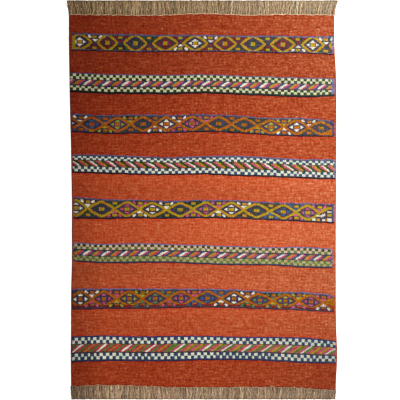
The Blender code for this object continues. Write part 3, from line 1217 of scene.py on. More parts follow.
@dataclass
class Brocade:
    """One raised band of weft-wrapped stitches, a closed strip bedded in the ground.

    The "joins" say how high the wool stands between two stitches, as a share of "plump": side by side
    where the colour changes, where a float ends and within a float, and from row to row in the same
    colour or not. "drift_stitches" is how far apart the knots of a row's drift are, and "held_end" the share
    of the width at each side that doesn't sway. Wools lighter than "pale_from" carry painted light at the
    left and painted shade at the right, which evens out the lamp's falloff across them.
    """

    plan: RugPlan
    band: Band
    seed: int
    plump: float = 0.34 * MM
    plump_uneven: float = 0.22
    bed: float = 1.3 * MM
    tuck: float = 0.5 * MM
    float_length: int = 3
    ragged_edge: float = 0.65 * MM
    ragged_end: float = 0.5 * MM
    ragged_knots: int = 56
    row_drift: float = 0.2 * MM
    drift_stitches: int = 8
    held_end: float = 0.01
    warp_knots: int = 60
    warp_sway: float = 0.4 * MM
    colour_join: float = -0.7
    float_join: float = -0.1
    loop_join: float = 0.75
    row_join: float = -0.35
    colour_row_join: float = -0.75
    tone_uneven: float = 0.16
    hue_uneven: float = 0.11
    pale_painted_light_left: float = 1.16
    pale_painted_shade_right: float = 0.88
    pale_from: float = 0.15
    brightest: float = 0.8

    def __post_init__(self) -> None:
        """Read the chart and start the unevenness of the hand."""
        self.rng = np.random.default_rng(self.seed)
        self.rows = self.band.chart.rows
        step = sum(self.band.tall) / len(self.band.tall) / self.rows
        dye = self.band.chart.dye
        self.chart = [
            [dye(column, row, STITCHES, step) for column in range(STITCHES)] for row in range(self.rows)]

    def profile(self, at: np.ndarray) -> np.ndarray:
        """How far the stitches stand proud, as a share of the full rise, at each line of the band.

        Args:
            at: the lines' places in the band, from -0.5 to 0.5.

        Returns:
            The share of the rise at each line.
        """
        if isinstance(self.band.chart, LozengeChart):
            places, rises = (0.0, 0.37, 0.43, 0.475, 0.5), (0.75, 0.75, 1.0, 0.95, 0.15)
        else:
            places = (0.0, 0.12, 0.15, 0.22, 0.42, 0.475, 0.5)
            rises = (1.0, 1.0, 0.45, 0.65, 0.85, 0.95, 0.15)
        return np.interp(np.abs(at), places, rises)

    def relief(self) -> np.ndarray:
        """The stitches' own relief at each line of the lattice: plump hearts and sunken joins.

        Returns:
            The relief in metres, by row line and column line.
        """
        rows, columns = self.rows, STITCHES
        wool = np.array([[list(Dye).index(dye) for dye in row] for row in self.chart])
        relief = np.full((2 * rows + 1, 2 * columns + 1), -1.0)
        relief[1::2, 1::2] = 1 + self.rng.normal(0.0, self.plump_uneven, (rows, columns))
        changes = wool[:, 1:] != wool[:, :-1]
        order = (np.arange(1, columns)[None, :] + np.arange(rows)[:, None]) % self.float_length == 0
        within = np.where(order, self.float_join, self.loop_join)
        relief[1::2, 2:-1:2] = np.where(changes, self.colour_join, within)
        relief[2:-1:2, 1::2] = np.where(wool[1:] == wool[:-1], self.row_join, self.colour_row_join)
        return relief * self.plump

    def build(self) -> bpy.types.Object:
        """Build the strip: two quads a stitch each way, its ends and edges tucked into the ground.

        Returns:
            The strip.
        """
        plan, band = self.plan, self.band
        columns, rows = 2 * STITCHES, 2 * self.rows
        share = np.linspace(0.0, 1.0, columns + 1)
        slack = self.rng.normal(0.0, self.row_drift, (self.rows + 1, STITCHES // self.drift_stitches + 1))
        drift = np.array([along(line, share) for line in slack])
        lines = np.linspace(0.5, -0.5, rows + 1)[:, None]
        low, high = plan.side_edges(plan.band_line(band, 0.0, share))
        start, end = low + band.insets[0] * MM, high - band.insets[1] * MM
        x = np.broadcast_to(start + (end - start) * share, (rows + 1, columns + 1)).copy()
        free = (share > self.held_end) & (share < 1 - self.held_end)
        x += wandering(self.rng, self.warp_knots, share, self.warp_sway) * free
        x[:, 0] += self.rng.normal(0.0, self.ragged_end, rows + 1)
        x[:, -1] += self.rng.normal(0.0, self.ragged_end, rows + 1)
        y = plan.band_line(band, lines, (x - low) / (high - low))
        head, foot = (wandering(self.rng, self.ragged_knots, share, self.ragged_edge) for _ in range(2))
        y += head * (0.5 + lines) ** 2 + foot * (0.5 - lines) ** 2
        y[::2] += drift
        y[1::2] += (drift[1:] + drift[:-1]) / 2
        from_end = np.minimum(np.arange(columns + 1), np.arange(columns + 1)[::-1])
        rise = self.profile(lines) * plan.band_rise * np.clip(from_end / 2.0, 0.0, 1.0) + self.relief()
        z = plan.top(x, y) + rise
        z[0] = z[-1] = z[:, 0] = z[:, -1] = plan.thick - self.tuck
        lattice = Lattice(columns, rows)
        lattice.place(plan.points(x, y, z))
        lattice.close_flat(self.bed)
        return lattice.finish(band.name, STRIP_LAYOUT, self.dress(), Dye.BRICK.linear, np.array([0.5, 0.5]))

    def dress(self) -> np.ndarray:
        """The colour of each quad: its stitch's wool or one mixed with it, lighter or darker each time.

        Returns:
            The linear colours, by row and column of quads.
        """
        pick = self.rng.random((self.rows, STITCHES))
        chart = [[mottled(dye, draw) for dye, draw in zip(*row)] for row in zip(self.chart, pick)]
        colours = np.array([[dye.linear for dye in row] for row in chart])
        # Painted light and shade on the pale wools: lighter at the left, darker at the right, evening out the
        # lamp's falloff.
        pale = np.clip((colours[..., :3].min(2) - self.pale_from) / self.pale_from, 0.0, 1.0)[..., None]
        light = np.linspace(self.pale_painted_light_left, self.pale_painted_shade_right, STITCHES)[:, None]
        colours = colours * (1 + (light - 1) * pale)
        tone = np.exp(self.rng.normal(0.0, self.tone_uneven, (self.rows, STITCHES, 1)))
        tone = tone * np.exp(self.rng.normal(0.0, self.hue_uneven, (self.rows, STITCHES, 4)))
        colours = opaque(np.clip(colours * tone, 0.0, self.brightest))
        return np.repeat(np.repeat(colours, 2, axis=0), 2, axis=1)


# Shares of the cell that each length of yarn has on the bake map, and of its caps there.
CELL_MARGIN = 0.04
RING_SHARE = 0.9
CAP_PLACES = (0.018, 0.972)
CAP_HALF = (0.3, 0.016)


@dataclass
class Tubes:
    """Yarns as joined tubes: their centre points, radii and colours, yarn by yarn.

    "points" is by yarn, ring and axis, "radii" by yarn and ring, "colours" by yarn and ring too, and
    "flat" is how tall each tube is for its width. "pieces" is how many lengths each yarn's map is cut
    into, and "twist" how many turns of its ply a yarn has on each metre.
    """

    points: np.ndarray
    radii: np.ndarray
    colours: np.ndarray
    sides: int = 5
    flat: np.ndarray | float = 1.0
    pieces: int = 1
    twist: float = 160.0

    def frames(self) -> tuple[np.ndarray, np.ndarray]:
        """The sideways and upward directions at each ring.

        Returns:
            Both directions, by yarn and ring.
        """
        ahead = np.gradient(self.points, axis=1)
        ahead /= np.linalg.norm(ahead, axis=2, keepdims=True)
        aside = np.cross(ahead, (0.0, 0.0, 1.0))
        aside /= np.maximum(np.linalg.norm(aside, axis=2, keepdims=True), 1e-9)
        return aside, np.cross(aside, ahead)

    def build(self, name: str) -> bpy.types.Object:
        """Roll a grid into closed tubes along the points, and give it its maps and colours.

        Args:
            name: the piece's name.

        Returns:
            The object, smooth shaded.
        """
        yarns, rings = self.radii.shape
        width = self.sides + 1
        bm = bmesh.new()
        keys = [bm.verts.layers.int.new(key) for key in ("yarn", "side", "ring")]
        bmesh.ops.create_grid(bm, x_segments=yarns * width - 1, y_segments=rings - 1, size=0.5)
        aside, upward = self.frames()
        turn = np.arange(width) * (2 * math.pi / self.sides)
        squash = np.broadcast_to(self.flat, yarns)[:, None, None, None]
        sideways, tall = np.cos(turn)[:, None], np.sin(turn)[:, None] * squash
        reach = aside[:, :, None] * sideways + upward[:, :, None] * tall
        skin = self.points[:, :, None] + reach * self.radii[:, :, None, None]
        for vert in bm.verts:
            column = round((vert.co.x + 0.5) * (yarns * width - 1))
            ring = round((vert.co.y + 0.5) * (rings - 1))
            yarn, side = divmod(column, width)
            vert[keys[0]], vert[keys[1]], vert[keys[2]] = yarn, side, ring
            vert.co = skin[yarn, ring, side % self.sides]
        between = [face for face in bm.faces if len({vert[keys[0]] for vert in face.verts}) > 1]
        bmesh.ops.delete(bm, geom=between, context="FACES")
        mesh = bpy.data.meshes.new(name)
        self.map_corners(bm, keys, yarns, rings)
        bmesh.ops.remove_doubles(bm, verts=bm.verts[:], dist=1e-7)
        bmesh.ops.holes_fill(bm, edges=[edge for edge in bm.edges if edge.is_boundary], sides=self.sides)
        bmesh.ops.recalc_face_normals(bm, faces=bm.faces[:])
        bm.to_mesh(mesh)
        bm.free()
        corners = Corners(mesh, ("yarn", "side", "ring"))
        self.map_caps(mesh, corners, rings)
        corners.drop_keys()
        return finished(mesh)

    def map_corners(self, bm: bmesh.types.BMesh, keys: list, yarns: int, rings: int) -> None:
        """Give each corner its place on both maps and its colour, while each seam is still open.

        Args:
            bm: the grid, not yet joined into tubes.
            keys: its layers with each vertex's yarn, side and ring.
            yarns: how many yarns there are.
            rings: how many rings each yarn has.
        """
        bake = bm.loops.layers.uv.new(BAKE_MAP)
        thread = bm.loops.layers.uv.new(THREAD_MAP)
        dye = bm.loops.layers.float_color.new(DYE_MAP)
        cells = yarns * self.pieces
        across = math.ceil(math.sqrt(cells))
        per_piece = math.ceil((rings - 1) / self.pieces)
        steps = np.linalg.norm(np.diff(self.points, axis=1), axis=2)
        length = np.concatenate([np.zeros((yarns, 1)), np.cumsum(steps, axis=1)], axis=1)
        for face in bm.faces:
            piece = min(vert[keys[2]] for vert in face.verts) // per_piece
            cell = face.verts[0][keys[0]] * self.pieces + piece
            for loop in face.loops:
                yarn, side, ring = (loop.vert[key] for key in keys)
                round_it = CELL_MARGIN + (1 - 2 * CELL_MARGIN) * side / self.sides
                down_it = CELL_MARGIN + RING_SHARE * (ring - piece * per_piece) / per_piece
                u, v = (cell % across + round_it) / across, (cell // across + down_it) / across
                loop[bake].uv = (u, v)
                loop[thread].uv = (side / self.sides, length[yarn, ring] * self.twist)
                loop[dye] = self.colours[yarn, ring]

    def map_caps(self, mesh: bpy.types.Mesh, corners: Corners, rings: int) -> None:
        """Give the caps a small place of their own beside their yarn's end, and its colour.

        Args:
            mesh: the joined tubes.
            corners: their corners with yarn, side and ring.
            rings: how many rings each yarn has.
        """
        yarn, side, ring = corners.values
        is_cap = corners.spread(corners.most(ring) == corners.least(ring))
        across = math.ceil(math.sqrt((yarn.max() + 1) * self.pieces))
        at_end = ring == rings - 1
        cell = yarn * self.pieces + np.where(at_end, self.pieces - 1, 0)
        angle = side * (2 * math.pi / self.sides)
        u = (cell % across + 0.5 + CAP_HALF[0] * np.cos(angle)) / across
        v = (cell // across + np.where(at_end, *CAP_PLACES[::-1]) + CAP_HALF[1] * np.sin(angle)) / across
        layer = mesh.uv_layers[BAKE_MAP].data
        found = np.empty(2 * len(layer), np.float32)
        layer.foreach_get("uv", found)
        found = found.reshape(-1, 2)
        found[is_cap] = np.stack([u, v], 1)[is_cap]
        layer.foreach_set("uv", found.ravel())
        colour = mesh.color_attributes[DYE_MAP].data
        shades = np.empty(4 * len(colour), np.float32)
        colour.foreach_get("color", shades)
        shades = shades.reshape(-1, 4)
        shades[is_cap] = self.colours[yarn[is_cap], ring[is_cap]]
        colour.foreach_set("color", shades.ravel())


class Side(Enum):
    """The two long sides of the rug."""

    LEFT = -1
    RIGHT = 1


@dataclass
class Selvedge:
    """The weft-wrapped cord along one side of the cloth, with the tail that is left at the head.

    "swell" is how thick the cord is between and at its wraps, and "flat" how tall it is for its width.
    """

    plan: RugPlan
    side: Side
    wool: Dye
    tone: float = 1.0
    tail: float = 0.0
    tail_tone: float = 1.15
    wrap: float = 3.1 * MM
    radius: float = 1.9 * MM
    rings_per_wrap: int = 2
    swell: tuple[float, float] = (0.86, 1.1)
    uneven: float = 0.06
    tone_uneven: float = 0.12
    flat: float = 0.9
    sway: float = 0.25 * MM
    sway_knots: int = 120
    tail_lean: float = 0.14
    sink: float = 0.75 * MM

    def __post_init__(self) -> None:
        """Start the unevenness of the hand."""
        self.rng = np.random.default_rng(60 + self.side.value)

    def build(self) -> bpy.types.Object:
        """Build the cord from the head to the foot, swelling at each wrap.

        Returns:
            The cord.
        """
        plan = self.plan
        share = (self.side.value + 1) / 2
        top = float(plan.end_line(1, share)) - MM + self.tail
        foot = float(plan.end_line(-1, share)) + MM
        rings = int((top - foot) / self.wrap) * self.rings_per_wrap + 1
        y = np.linspace(top, foot, rings)
        low, high = plan.side_edges(y)
        x = low + self.radius if self.side is Side.LEFT else high - self.radius
        wraps = np.array(self.swell)[np.arange(rings) % self.rings_per_wrap]
        radii = self.radius * wraps * (1 + self.rng.normal(0.0, self.uneven, rings))
        x = x + wandering(self.rng, self.sway_knots, np.linspace(0, 1, rings), self.sway)
        past = np.maximum(y - float(plan.end_line(1, share)), 0.0)
        x = x + past * self.tail_lean
        z = np.maximum(plan.top(x, y) - self.sink, radii * self.flat)
        points = plan.points(x, y, z)[None]
        colours = self.dress(rings, past)
        name = "selvedge_" + self.side.name.lower()
        return Tubes(points, radii[None], colours, sides=8, flat=self.flat, pieces=12, twist=40.0).build(name)

    def dress(self, rings: int, past: np.ndarray) -> np.ndarray:
        """The wool's colour at each ring, brighter on the tail."""
        tone = self.tone * (1 + self.rng.normal(0.0, self.tone_uneven, (1, rings, 1)))
        tone = tone * np.where(past > 0, self.tail_tone, 1.0)[None, :, None]
        return opaque(self.wool.linear * tone)


@dataclass(frozen=True)
class EndFinish:
    """One end of the rug: its twined line and its fringe.

    "side" is 1 at the head and -1 at the foot. "flare" is how far the outer yarns splay in mm, "swept"
    how much further the last ones at the right lean, and each of "sways" is the size, the wavelength
    and the start of a wave in their lean. "tip_line" is how far out the tips are cut in mm, "tones"
    are the yarns' tones at even steps from left to right, "wander" is how far the twined line strays,
    and "tint" is the yarns' own hue.
    """

    name: str
    side: int
    seed: int
    flare: float
    swept: float
    sways: tuple[tuple[float, float, float], ...]
    twining: Dye
    node: str
    tip_line: float
    tones: tuple[float, ...]
    wander: float
    tint: tuple[float, float, float, float]


ENDS = (
    EndFinish(
        "head", 1, 11, flare=4.6, swept=13.0, sways=((4.5, 310, 0.10), (3.5, 170, 0.55), (1.6, 88, 0.3)),
        twining=Dye.FLAX, node="fringe_head", tip_line=745.3, tones=(1.07, 1.14, 0.98, 1.03, 0.88),
        wander=0.7 * MM, tint=(1.0, 1.0, 1.0, 1.0)),
    EndFinish(
        "foot", -1, 23, flare=-3.5, swept=0.0, sways=((4.0, 350, 0.70), (3.0, 190, 0.25), (1.6, 95, 0.8)),
        twining=Dye.GREIGE, node="fringe_foot", tip_line=742.6, tones=(0.74, 1.14, 0.99, 1.03, 1.03),
        wander=1.4 * MM, tint=(1.01, 1.0, 1.14, 1.0)),
)


@dataclass
class Twining:
    """Two cords twined round each other along an end of the cloth, holding its warps.

    "swing" is how far each strays from the line's middle and "rise" the share of that upwards, "out" is
    how far beyond the cloth's end the line lies, and "stops" are where it begins and ends, as shares of
    the width. Each "knots" is how many random points a slow line is drawn through.
    """

    plan: RugPlan
    end: EndFinish
    turn: float = 8.4 * MM
    rings_per_turn: int = 9
    radius: float = 0.95 * MM
    swing: float = 0.8 * MM
    rise: float = 0.9
    out: float = 0.9 * MM
    level: float = 2.6 * MM
    stops: tuple[float, float] = (0.002, 0.998)
    line_knots: int = 90
    turn_knots: int = 60
    turn_uneven: float = 0.5
    uneven: float = 0.05
    tone_knots: int = 260
    tone_uneven: float = 0.3

    def __post_init__(self) -> None:
        """Start the unevenness of the hand."""
        self.rng = np.random.default_rng(self.end.seed + 40)

    def build(self) -> bpy.types.Object:
        """Build both cords from the left edge to the right.

        Returns:
            The twined line.
        """
        plan, end = self.plan, self.end
        low, high = plan.side_edges(plan.end_line(end.side, np.array([0.5])))
        turns = int((high[0] - low[0]) / self.turn)
        rings = turns * self.rings_per_turn + 1
        share = np.linspace(*self.stops, rings)
        x = low[0] + (high[0] - low[0]) * share
        middle = plan.end_line(end.side, share) + end.side * self.out
        middle = middle + wandering(self.rng, self.line_knots, share, end.wander)
        phase = 2 * math.pi * turns * share
        phase = phase + wandering(self.rng, self.turn_knots, share, self.turn_uneven)
        points, radii, colours = [], [], []
        for ply in (0.0, math.pi):
            y = middle + self.swing * np.cos(phase + ply)
            z = self.level + self.swing * self.rise * np.sin(phase + ply)
            points.append(plan.points(x, y, z))
            radii.append(self.radius * (1 + self.rng.normal(0.0, self.uneven, rings)))
            colours.append(self.dress(share))
        tubes = Tubes(np.array(points), np.array(radii), np.array(colours), sides=6, pieces=8, twist=300.0)
        return tubes.build("twining_" + end.name)

    def dress(self, share: np.ndarray) -> np.ndarray:
        """The colour of one cord at each place along it."""
        tone = np.exp(wandering(self.rng, self.tone_knots, share, self.tone_uneven))
        return opaque(self.end.twining.linear * tone[:, None])


@dataclass(frozen=True)
class YarnLayer:
    """One layer of a fringe: yarns that leave the twining in locks and splay towards their tips.

    "gather" is the share of a lock's pitch that its roots fill, "level" the height of the yarns'
    middles, "lift" how much that differs, "stray" how far a tip strays sideways, "curl" how far a yarn
    bows, "taper" how much thinner its tip is, and "uneven" how much the yarns differ in tone.
    """

    locks: int
    per_lock: int
    radius: float
    flat: float
    gather: float
    level: float
    lift: float
    stray: float
    curl: float
    taper: float
    uneven: float
    root_wool: Dye
    tip_wool: Dye


YARN_LAYERS = (
    # The dark underlay: painted shade that fills the shadow between the paler yarns above it.
    YarnLayer(
        locks=208, per_lock=1, radius=4.3 * MM, flat=0.21, gather=1.0, level=0.95 * MM, lift=0.3 * MM,
        stray=0.4 * MM, curl=0.3 * MM, taper=0.0, uneven=0.16, root_wool=Dye.UMBER, tip_wool=Dye.DRAB),
    YarnLayer(
        locks=104, per_lock=3, radius=1.2 * MM, flat=0.8, gather=0.75, level=1.9 * MM, lift=0.7 * MM,
        stray=3.6 * MM, curl=1.5 * MM, taper=0.12, uneven=0.46, root_wool=Dye.DRAB, tip_wool=Dye.GREIGE),
    YarnLayer(
        locks=104, per_lock=3, radius=1.0 * MM, flat=0.85, gather=0.7, level=2.7 * MM, lift=0.7 * MM,
        stray=4.8 * MM, curl=1.9 * MM, taper=0.15, uneven=0.33, root_wool=Dye.GREIGE, tip_wool=Dye.GREIGE),
)


@dataclass
class Fringe:
    """The loose warp ends beyond one line of twining: a dark underlay of flat yarns, which is painted shade
    for the shadow between the yarns, and paler yarns crossing on it.

    "bends" are how late the straightest and the latest yarn turn towards their tips, "crest_early" is
    how soon they rise, "droop" how much lower a tip lies, and "rooted" and "blended" how fast the roots'
    level and wool give way. "lock_tone", "soil" and "hue_uneven" are how the colour differs from lock to
    lock, along a yarn, and from yarn to yarn.
    """

    plan: RugPlan
    end: EndFinish
    rings: int = 9
    root: float = -1.2 * MM
    root_level: float = 1.2 * MM
    cut: float = 0.45 * MM
    bends: tuple[float, float] = (1.0, 1.9)
    curl_knots: int = 5
    uneven: float = 0.1
    crest_early: float = 0.2
    droop: float = 0.45
    rooted: float = 8.0
    floor_clear: float = 0.02
    lock_tone: float = 0.12
    soil_and_shade: float = 0.16
    hue_uneven: float = 0.035
    blended: float = 2.6
    brightest: float = 0.86

    def __post_init__(self) -> None:
        """Start the unevenness of the hand."""
        self.rng = np.random.default_rng(self.end.seed)

    def lean(self, x: np.ndarray) -> np.ndarray:
        """How far the tips lean sideways where the root is at x.

        Args:
            x: where the yarns' roots are across the rug.

        Returns:
            How far each leans to the right.
        """
        across = x / (self.plan.left[0] * MM)
        lean = self.end.flare * across + self.end.swept * np.clip(across * 5 - 4, 0.0, 1.0)
        for size, wavelength, start in self.end.sways:
            lean = lean + size * np.sin(2 * math.pi * (x / MM / wavelength + start))
        return lean * MM

    def build(self) -> bpy.types.Object:
        """Build every yarn of the fringe as one joined mesh.

        Returns:
            The fringe.
        """
        layers = [self.lay(layer) for layer in YARN_LAYERS]
        points, radii, colours, flat = (np.concatenate(parts) for parts in zip(*layers))
        tubes = Tubes(points, radii, colours, sides=5, flat=flat, twist=330.0)
        return tubes.build("fringe_yarns_" + self.end.name)

    def lay(self, layer: YarnLayer) -> tuple[np.ndarray, np.ndarray, np.ndarray, np.ndarray]:
        """Lay the yarns of one layer.

        Args:
            layer: the layer's sizes and wools.

        Returns:
            The yarns' points, radii, colours and flatness.
        """
        plan, end, rng = self.plan, self.end, self.rng
        count = layer.locks * layer.per_lock
        lock = np.repeat(np.arange(layer.locks), layer.per_lock)
        number = np.tile(np.arange(layer.per_lock), layer.locks)
        seat = (number - (layer.per_lock - 1) / 2) / layer.per_lock
        low, high = (edge[0] for edge in plan.side_edges(plan.end_line(end.side, np.array([0.5]))))
        pitch = (high - low) / layer.locks
        middle = low + pitch * (lock + 0.5)
        root = middle + pitch * seat * layer.gather
        tip = middle + pitch * seat + self.lean(root) + rng.normal(0.0, layer.stray, count)
        share = np.linspace(0.0, 1.0, self.rings)
        start = plan.end_line(end.side, (root - low) / (high - low)) + end.side * self.root
        finish = end.side * end.tip_line * MM + rng.normal(0.0, self.cut, count)
        y = start[:, None] + (finish - start)[:, None] * share
        bend = share ** rng.uniform(*self.bends, (count, 1))
        wave = rng.normal(0.0, layer.curl, (count, self.curl_knots))
        x = root[:, None] + (tip - root)[:, None] * bend
        x = x + np.array([along(knots, share) for knots in wave]) * np.sin(np.pi * share)
        plump = 1 + rng.normal(0.0, self.uneven, (count, 1))
        radii = layer.radius * (1 - layer.taper * share**2) * plump
        rise = np.sin(np.pi * np.clip(share + self.crest_early, 0, 1))
        height = layer.level + rng.uniform(-0.5, 0.5, (count, 1)) * layer.lift * rise
        height = height * (1 - self.droop * share**1.5)
        height = self.root_level + (height - self.root_level) * np.clip(share * self.rooted, 0, 1)
        z = np.maximum(height, radii * (layer.flat + self.floor_clear))
        points = plan.points(x, y, z)
        light = along(end.tones, (root - low) / (high - low))
        return points, radii, self.dress(layer, lock, share, light), np.full(count, layer.flat)

    def dress(
        self, layer: YarnLayer, lock: np.ndarray, share: np.ndarray, light: np.ndarray,
    ) -> np.ndarray:
        """Dye the yarns of a layer.

        Args:
            layer: the layer's wools.
            lock: the number of each yarn's lock.
            share: how far along a yarn each ring is.
            light: the tone of each yarn for its place across the rug.

        Returns:
            The colour of each ring of each yarn.
        """
        rng, count = self.rng, len(lock)
        own = rng.normal(0.0, layer.uneven, count) + rng.normal(0.0, self.lock_tone, layer.locks)[lock]
        tone = (light * np.exp(own - layer.uneven**2 / 2))[:, None, None]
        soiled = np.exp(rng.normal(0.0, self.soil_and_shade, (count, len(share), 1)))
        warm = 1 + rng.normal(0.0, self.hue_uneven, (count, 1, 4))
        blend = np.clip(share * self.blended, 0.0, 1.0)[:, None]
        wool = layer.root_wool.linear * (1 - blend) + layer.tip_wool.linear * blend
        return opaque(np.clip(wool * self.end.tint * tone * warm * soiled, 0.0, self.brightest))


@dataclass
class Burrs:
    """Pale tufts of fibre caught in the ground, each a few short curled hairs.

    Each of "places" is mm right of and above the middle of the rug, and the tuft's size as a share.
    "turn" and "curl" are how far a hair may turn and bow, and "heights" are how far off the cloth it
    lies, in mm: the least, and how much more it may be.
    """

    plan: RugPlan
    places: tuple[tuple[float, float, float], ...] = (
        (-152, 637.6, 1.0), (427, 638, 1.0), (-89, 245.6, 1.0), (349, 313, 0.9), (38.6, 330, 0.6),
        (87, 325, 0.6), (37, 243, 0.6))
    hairs: int = 6
    length: float = 7.0 * MM
    radius: float = 0.42 * MM
    rings: int = 7
    turn: float = 0.6
    curl: float = 1.6
    lengths: tuple[float, float] = (0.6, 1.1)
    spread: tuple[float, float] = (1.2 * MM, 0.8 * MM)
    heights: tuple[float, float] = (0.5, 0.7)
    taper: float = 1.6
    tone_uneven: float = 0.12
    wool: Dye = Dye.FLAX

    def build(self) -> bpy.types.Object:
        """Build every tuft as one joined mesh, lying on the ground's face.

        Returns:
            The tufts.
        """
        rng = np.random.default_rng(77)
        share = np.linspace(-0.5, 0.5, self.rings)
        points, radii = [], []
        for x, y, size in self.places:
            for _ in range(self.hairs):
                turn = rng.uniform(-self.turn, self.turn) + rng.uniform(-self.curl, self.curl) * share
                reach = self.length * size * rng.uniform(*self.lengths) * share
                px = x * MM + rng.normal(0.0, self.spread[0] * size) + reach * np.cos(turn)
                py = y * MM + rng.normal(0.0, self.spread[1] * size) + reach * np.sin(turn)
                pz = self.plan.top(px, py) + (self.heights[0] + rng.uniform(0.0, self.heights[1])) * MM
                points.append(self.plan.points(px, py, pz))
                radii.append(self.radius * (1 - self.taper * np.abs(share) ** 1.5))
        return Tubes(np.array(points), np.array(radii), self.dress(rng, len(points))).build("ground_burrs")

    def dress(self, rng: np.random.Generator, count: int) -> np.ndarray:
        """The colour of each hair's rings."""
        tone = np.exp(rng.normal(0.0, self.tone_uneven, (count, 1, 1)))
        return opaque(self.wool.linear * tone * np.ones((1, self.rings, 1)))


class Nodes:
    """Adds and links the nodes of one tree."""

    def __init__(self, tree: bpy.types.NodeTree) -> None:
        """Work in this tree."""
        self.tree = tree

    def add(self, kind: str, settings: dict | None = None, **values: object) -> bpy.types.Node:
        """Add a node.

        Args:
            kind: the node's type.
            settings: its own properties.
            values: for each input, by name with underscores or as "i" and its number, a value or an output.

        Returns:
            The node.
        """
        node = self.tree.nodes.new(kind)
        for name, value in (settings or {}).items():
            setattr(node, name, value)
        for name, value in values.items():
            number = name[1:]
            socket = node.inputs[int(number)] if number.isdigit() else node.inputs[name.replace("_", " ")]
            if isinstance(value, bpy.types.NodeSocket):
                self.tree.links.new(value, socket)
            else:
                socket.default_value = value
        return node

    def group(self, tree: bpy.types.NodeTree, **values: object) -> bpy.types.Node:
        """Place a shared group with its own values."""
        return self.add("ShaderNodeGroup", {"node_tree": tree}, **values)

    def math(self, operation: str, *values: object) -> bpy.types.NodeSocket:
        """The result of a sum on numbers or outputs."""
        inputs = {f"i{number}": value for number, value in enumerate(values)}
        return self.add("ShaderNodeMath", {"operation": operation}, **inputs).outputs[0]

    def noise(
        self, vector: object, stretch: Sequence[float], detail: float = 2.0,
    ) -> bpy.types.NodeSocket:
        """Noise about 0, from -0.5 to 0.5, as fine along each axis as its stretch says."""
        mapped = self.add("ShaderNodeMapping", Vector=vector, Scale=stretch).outputs[0]
        found = self.add("ShaderNodeTexNoise", Vector=mapped, Scale=1.0, Detail=detail, Roughness=0.55)
        return self.math("SUBTRACT", found.outputs["Fac"], 0.5)


class SocketKind(Enum):
    """The kinds of socket that the groups have."""

    NUMBER = "NodeSocketFloat"
    VECTOR = "NodeSocketVector"


def new_group(
    name: str, inputs: dict[str, float | None], outputs: Sequence[str],
) -> tuple[Nodes, dict[str, bpy.types.NodeSocket]]:
    """Start a node group with named sockets.

    Args:
        name: the group's name.
        inputs: the usual value of each number, and None for each vector.
        outputs: the names of its results, all numbers.

    Returns:
        The group's nodes, and its inputs as outputs to link from, by name.
    """
    tree = bpy.data.node_groups.new(name, "ShaderNodeTree")
    for label, usual in inputs.items():
        kind = SocketKind.VECTOR if usual is None else SocketKind.NUMBER
        socket = tree.interface.new_socket(label, in_out="INPUT", socket_type=kind.value)
        if usual is not None:
            socket.default_value = usual
    for label in outputs:
        tree.interface.new_socket(label, in_out="OUTPUT", socket_type=SocketKind.NUMBER.value)
    entry = tree.nodes.new("NodeGroupInput")
    return Nodes(tree), {socket.name: socket for socket in entry.outputs if socket.name}


def close_group(nodes: Nodes, **results: bpy.types.NodeSocket) -> bpy.types.NodeTree:
    """Link the results to the group's outputs of the same name, and give back the group.

    Args:
        nodes: the group's nodes.
        results: what each output gives, by its name.

    Returns:
        The group.
    """
    out = nodes.tree.nodes.new("NodeGroupOutput")
    for name, result in results.items():
        nodes.tree.links.new(result, out.inputs[name])
    return nodes.tree


Triple = tuple[float, float, float]


